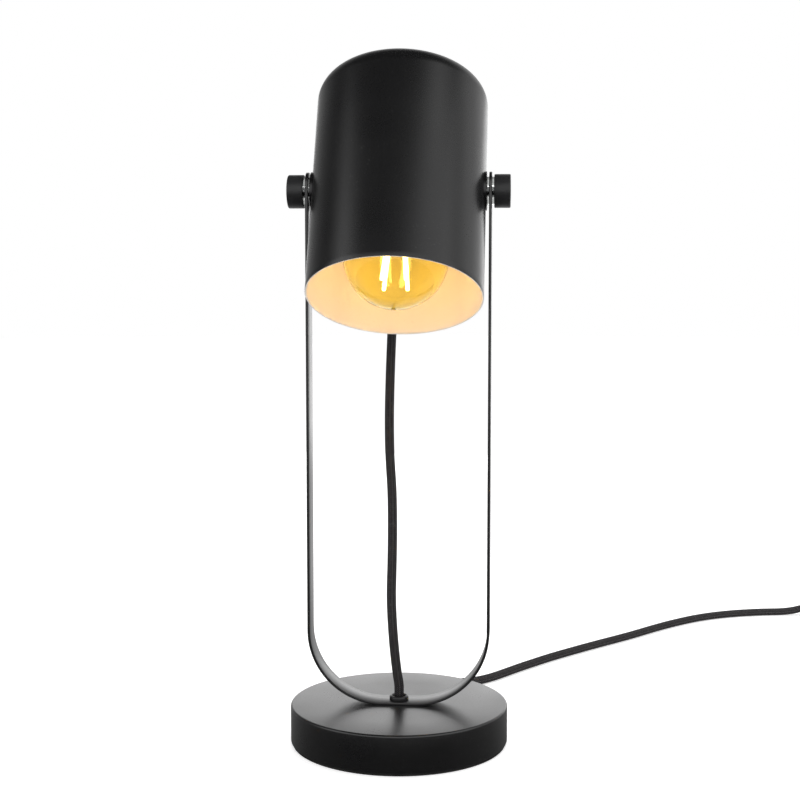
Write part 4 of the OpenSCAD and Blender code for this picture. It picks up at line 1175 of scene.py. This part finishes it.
class LAMP_OT_mould_switch(bpy.types.Operator):
    """Moulds the two halves of the in-line switch"""

    bl_idname = "lamp.mould_switch"
    bl_label = "Mould the Switch"

    def execute(self, context):
        flex = context.scene.lamp_flex
        half = flex.switch_h / 2
        size, corner = (flex.switch_l, flex.switch_w, half), 0.007
        under_edge, upper_edge, seam, well_edge = 0.0010, 0.0018, 0.00025, 0.0003
        low = rounded_box("switch_low", size, corner)
        edit(low)
        round_off(low, level(0.0), under_edge, 4)
        round_off(low, level(half), seam, 2)
        clear_selection()
        put(low, (flex.switch_x, flex.line_y, 0))

        top = rounded_box("switch_top", size, corner)
        edit(top)
        round_off(top, level(half), upper_edge, 6)
        round_off(top, level(0.0), seam, 2)
        clear_selection()
        well_l, well_w, well_deep = 0.0146, 0.0102, 0.0042
        well = rounded_box("well", (well_l, well_w, 0.008), 0.0008, 3)
        put(well, (0, 0, half - well_deep))
        use_modifier(top, "BOOLEAN", operation="DIFFERENCE", solver="EXACT", object=well)
        bpy.data.objects.remove(well)
        put(top, (flex.switch_x, flex.line_y, half))
        edit(top)
        round_off(
            top, lambda e: level(flex.switch_h)(e) and abs(middle(e).x - flex.switch_x) < well_l / 2 + 0.0002
            and abs(middle(e).y - flex.line_y) < well_w / 2 + 0.0002, well_edge, 2,
        )
        clear_selection()
        dress(smooth(low), "base", "black_plastic", finish("black_plastic"), stands_for=("switch_base",))
        dress(smooth(top), "base", "black_plastic", finish("black_plastic"), stands_for=("switch_cover",))
        return {"FINISHED"}


class LAMP_OT_mould_plug(bpy.types.Operator):
    """Moulds the flat two-pin plug's body"""

    bl_idname = "lamp.mould_plug"
    bl_label = "Mould the Plug"

    def execute(self, context):
        flex = context.scene.lamp_flex
        length, half, thick = flex.plug_l, flex.plug_w / 2, flex.plug_t
        side_edge, front_edge, back_edge = 0.0034, 0.0007, 0.0009
        neck = node_high("plug_body").y - flex.line_y - half + 0.0062
        sections = [(0.0, neck, 0.80), (0.12, neck + 0.0009, 0.84), (0.30, neck + 0.0034, 0.90),
                    (0.50, half - 0.0040, 0.97), (0.66, half - 0.0010, 1.0), (0.74, half, 1.0),
                    (1.0, half, 1.0)]
        clear_selection()
        bpy.ops.mesh.primitive_plane_add(size=1.0, location=(0, 0, 0))
        shell = new_piece("plug_shell")
        put(shell, (0, 0, 0), (0, math.pi / 2, 0))
        edit(shell)
        bpy.ops.mesh.select_mode(type="FACE")
        bpy.ops.mesh.select_all(action="SELECT")
        _, width, share = sections[0]
        bpy.ops.transform.resize(value=(1, 2 * width, thick * share), center_override=(0, 0, 0))
        at, last_width, last_share = 0.0, width, share
        for place, width, share in sections[1:]:
            bpy.ops.mesh.extrude_region_move(TRANSFORM_OT_translate={"value": ((place - at) * length, 0, 0)})
            bpy.ops.transform.resize(
                value=(1, width / last_width, share / last_share), center_override=(place * length, 0, 0)
            )
            at, last_width, last_share = place, width, share
        bpy.ops.mesh.select_all(action="SELECT")
        bpy.ops.mesh.normals_make_consistent(inside=False)
        round_off(
            shell, lambda e: abs(e.verts[0].co.x - e.verts[1].co.x) > 1e-5 and abs(middle(e).z) > thick * 0.3
            and abs(middle(e).y) > 0.002, side_edge, 7,
        )
        round_off(shell, lambda e: all(v.co.x > length - 1e-6 for v in e.verts), front_edge, 3)
        round_off(shell, lambda e: all(v.co.x < 1e-6 for v in e.verts), back_edge, 3)
        clear_selection()
        outward(shell)
        put(shell, (flex.plug_x, flex.line_y, thick / 2))
        dress(smooth(shell, 40), "base", "black_plastic", finish("black_plastic"), stands_for=("plug_body",))
        return {"FINISHED"}


class LAMP_OT_tie_coil(bpy.types.Operator):
    """Wraps the tape round the coiled lead"""

    bl_idname = "lamp.tie_coil"
    bl_label = "Tie the Coil"

    def execute(self, context):
        low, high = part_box("coil_tie")
        corner, thick = 0.0022, 0.0007
        clear_selection()
        bpy.ops.mesh.primitive_cube_add(size=1.0, location=(0, 0, 0))
        tape = new_piece("coil_tape")
        tape.scale = high - low
        put(tape)
        edit(tape)
        pick(tape, "FACE", lambda f: abs(f.normal.x) > 0.9)
        bpy.ops.mesh.delete(type="FACE")
        round_off(tape, lambda e: abs(e.verts[0].co.x - e.verts[1].co.x) > 1e-5, corner, 6)
        clear_selection()
        use_modifier(tape, "SOLIDIFY", thickness=thick, offset=-1.0, use_even_offset=True)
        soften(tape, 0.00015, 1, 60)
        put(tape, tuple((low + high) / 2))
        dress(smooth(tape, 40), "base", "textile", finish("tie_fabric"), stands_for=("coil_tie",))
        return {"FINISHED"}


class LAMP_OT_finish_frame(bpy.types.Operator):
    """Gives every CAD node that still shows its procedural finish"""

    bl_idname = "lamp.finish_frame"
    bl_label = "Finish the Frame"

    def execute(self, context):
        slots = {row["node"]: row["material_slot"] for row in frame["record"]["subparts"]}
        for name, node in NODES.items():
            if node.hide_render:
                continue
            material = finish(slots[name])
            if node.material_slots:
                for held in node.material_slots:
                    held.material = material
            else:
                node.data.materials.append(material)
        return {"FINISHED"}


# ---------------------------------------------------------------------------
# The studio
# ---------------------------------------------------------------------------


def softbox(name, place, aim, size, power):
    light = bpy.data.lights.new(name, "AREA")
    light.shape = "RECTANGLE"
    light.size, light.size_y = size
    light.energy = power
    holder = bpy.data.objects.new(name, light)
    bpy.context.scene.collection.objects.link(holder)
    holder.location = place
    holder.rotation_euler = (Vector(aim) - Vector(place)).to_track_quat("-Z", "Y").to_euler()
    return holder


def aim_camera(scene, studio):
    view = bpy.data.cameras.new("camera")
    camera = bpy.data.objects.new("camera", view)
    scene.collection.objects.link(camera)
    camera.location = studio.camera_place
    camera.rotation_euler = (studio.camera_pitch, 0, studio.camera_turn)
    view.lens, view.sensor_width, view.sensor_fit = studio.lens, 36.0, "AUTO"
    view.clip_start, view.clip_end = 0.01, 50.0
    scene.camera = camera


def seen_plainly(w, path):
    """1 where a surface is seen by the camera or through glass."""
    return w.math("MAXIMUM", path.outputs["Is Camera Ray"], path.outputs["Is Transmission Ray"])


def lay_floor(studio):
    """A pale floor: white to the camera under its shadow, and dark in gloss near the camera."""
    clear_selection()
    bpy.ops.mesh.primitive_circle_add(vertices=96, radius=6.0, fill_type="NGON", location=(0, 0, -0.0002))
    floor = new_piece("floor")
    paper, w, shader, output = new_material("Pale paper")
    place = w.node("ShaderNodeTexCoord").outputs["Object"]
    tooth = w.noise(place, 900.0, 2.0, 0.5)
    pale = w.mix(w.spread(tooth, 0.3, 0.7), (0.86, 0.86, 0.86, 1.0), (0.88, 0.88, 0.88, 1.0))
    w.link(pale, shader.inputs["Base Color"])
    shader.inputs["Roughness"].default_value = 0.9
    shader.inputs["Specular IOR Level"].default_value = 0.1
    path = w.node("ShaderNodeLightPath")
    shine = w.node("ShaderNodeEmission")
    shine.inputs["Color"].default_value = (1.0, 1.0, 1.0, 1.0)
    w.link(w.math("MULTIPLY", seen_plainly(w, path), studio.lift), shine.inputs["Strength"])
    lit = w.node("ShaderNodeAddShader")
    w.link(shader.outputs[0], lit.inputs[0])
    w.link(shine.outputs[0], lit.inputs[1])
    along = w.node("ShaderNodeSeparateXYZ")
    w.link(place, along.inputs[0])
    mirrored = w.node("ShaderNodeEmission")
    w.link(w.spread(along.outputs["Y"], -0.1, 0.6, studio.dark, 1.0), mirrored.inputs["Strength"])
    either = w.node("ShaderNodeMixShader")
    w.link(path.outputs["Is Glossy Ray"], either.inputs[0])
    w.link(lit.outputs[0], either.inputs[1])
    w.link(mirrored.outputs[0], either.inputs[2])
    w.link(either.outputs[0], output.inputs["Surface"])
    floor.data.materials.append(paper)


def room_in_gloss(w, studio):
    """How bright the room looks in gloss: pale low behind the lamp and in front of it, dark overhead."""
    direction = w.node("ShaderNodeSeparateXYZ")
    w.link(w.node("ShaderNodeTexCoord").outputs["Generated"], direction.inputs[0])
    x, y, z = (direction.outputs[axis] for axis in "XYZ")
    behind = w.math("MULTIPLY", w.spread(y, 0.25, 0.7), w.spread(z, 0.45, 0.85, 1.0, 0.0))
    behind = w.math("MULTIPLY", behind, w.spread(x, -0.7, 0.0, 0.25, 0.9))
    overhead = w.math("SUBTRACT", z, w.math("MULTIPLY", x, 0.18))
    before = w.math("MULTIPLY", w.spread(y, 0.15, -0.15), w.spread(overhead, 0.64, 0.79, 1.0, 0.0))
    before = w.math("MULTIPLY", before, studio.front)
    return w.math("ADD", w.math("ADD", behind, before), studio.dark), y


def light_room(scene, studio):
    """White to the camera, soft light on matt surfaces, and the room's picture in gloss."""
    world = bpy.data.worlds.new("Studio")
    world.use_nodes = True
    scene.world = world
    w = Wiring(world.node_tree)
    for node in list(world.node_tree.nodes):
        world.node_tree.nodes.remove(node)
    output = w.node("ShaderNodeOutputWorld")
    fill, backdrop = w.node("ShaderNodeBackground"), w.node("ShaderNodeBackground")
    for light in (fill, backdrop):
        light.inputs["Color"].default_value = (1.0, 1.0, 1.0, 1.0)
    path = w.node("ShaderNodeLightPath")
    mirrored, y = room_in_gloss(w, studio)
    w.link(w.spread(y, 0.6, -0.6, studio.fill * 0.5, studio.fill * 1.5), fill.inputs["Strength"])
    seen = seen_plainly(w, path)
    w.link(w.math("MAXIMUM", mirrored, seen), backdrop.inputs["Strength"])
    mixer = w.node("ShaderNodeMixShader")
    w.link(w.math("MAXIMUM", seen, path.outputs["Is Glossy Ray"]), mixer.inputs[0])
    w.link(fill.outputs[0], mixer.inputs[1])
    w.link(backdrop.outputs[0], mixer.inputs[2])
    w.link(mixer.outputs[0], output.inputs["Surface"])


def hang_lights(scene, studio):
    shade_middle = (0, 0, 0.38)
    softbox("right softbox", (1.10, 0.15, 0.72), shade_middle, (0.9, 0.9), studio.right_power)
    softbox("left softbox", (-1.05, -0.40, 0.95), shade_middle, (0.6, 0.6), studio.left_power)
    top = softbox("top softbox", (0.1, 0.35, 1.6), (0, 0, 0.25), (1.0, 0.8), studio.top_power)
    top.visible_glossy = False
    back = softbox("back softbox", (0.1, 1.6, 0.36), (0, 0, 0.2), (1.6, 0.7), studio.back_power)
    back.visible_camera = False

    glow = bpy.data.lights.new("bulb light", "POINT")
    glow.energy = studio.bulb_power
    glow.color = studio.bulb_colour
    glow.shadow_soft_size = 0.009
    lit = bpy.data.objects.new("bulb light", glow)
    scene.collection.objects.link(lit)
    lit.location = shade_point(0, 0, -0.050)
    lit.visible_camera = lit.visible_glossy = lit.visible_transmission = False
    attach(lit, "bulb")


class LAMP_OT_build_stage(bpy.types.Operator):
    """Sets up the camera, the pale floor, the softboxes and the bulb's light"""

    bl_idname = "lamp.build_stage"
    bl_label = "Build the Stage"

    def execute(self, context):
        scene, studio = context.scene, context.scene.lamp_studio
        scene.view_settings.view_transform = "Standard"
        aim_camera(scene, studio)
        lay_floor(studio)
        light_room(scene, studio)
        hang_lights(scene, studio)
        return {"FINISHED"}


# ---------------------------------------------------------------------------
# Panel and registration
# ---------------------------------------------------------------------------

OPERATORS = (
    LAMP_OT_build_stage,
    LAMP_OT_turn_foot,
    LAMP_OT_bend_strap,
    LAMP_OT_spin_shade,
    LAMP_OT_turn_knobs,
    LAMP_OT_blow_bulb,
    LAMP_OT_mould_switch,
    LAMP_OT_mould_plug,
    LAMP_OT_tie_coil,
    LAMP_OT_braid_leads,
    LAMP_OT_finish_frame,
)
SETTINGS = {
    "lamp_foot": FootSizes,
    "lamp_strap": StrapSizes,
    "lamp_shade": ShadeSizes,
    "lamp_knob": KnobSizes,
    "lamp_bulb": BulbSizes,
    "lamp_cord": CordSizes,
    "lamp_flex": FlexSizes,
    "lamp_finishes": Finishes,
    "lamp_studio": StudioSettings,
}


class LAMP_PT_builder(bpy.types.Panel):
    """Lists the steps that build the lamp and the sizes they use"""

    bl_idname = "LAMP_PT_builder"
    bl_label = "Searchlight Lamp"
    bl_space_type = "VIEW_3D"
    bl_region_type = "UI"
    bl_category = "Lamp"

    def draw(self, context):
        layout = self.layout
        for step in OPERATORS:
            layout.operator(step.bl_idname)
        for name in SETTINGS:
            box = layout.box()
            box.label(text=name.replace("lamp_", "").title())
            group = getattr(context.scene, name)
            for prop in group.bl_rna.properties:
                if prop.identifier not in {"rna_type", "name"}:
                    box.prop(group, prop.identifier)


def register():
    for group in SETTINGS.values():
        bpy.utils.register_class(group)
    for name, group in SETTINGS.items():
        setattr(bpy.types.Scene, name, bpy.props.PointerProperty(type=group))
    for step in OPERATORS:
        bpy.utils.register_class(step)
    bpy.utils.register_class(LAMP_PT_builder)


def unregister():
    bpy.utils.unregister_class(LAMP_PT_builder)
    for step in reversed(OPERATORS):
        bpy.utils.unregister_class(step)
    for name in SETTINGS:
        delattr(bpy.types.Scene, name)
    for group in SETTINGS.values():
        bpy.utils.unregister_class(group)


def main():
    """Builds the whole lamp."""
    register()
    bpy.ops.lamp.build_stage()
    bpy.ops.lamp.turn_foot()
    bpy.ops.lamp.bend_strap()
    bpy.ops.lamp.spin_shade()
    bpy.ops.lamp.turn_knobs()
    bpy.ops.lamp.blow_bulb()
    bpy.ops.lamp.mould_switch()
    bpy.ops.lamp.mould_plug()
    bpy.ops.lamp.tie_coil()
    bpy.ops.lamp.braid_leads()
    bpy.ops.lamp.finish_frame()
    clear_selection()


if __name__ == "__main__":
    main()
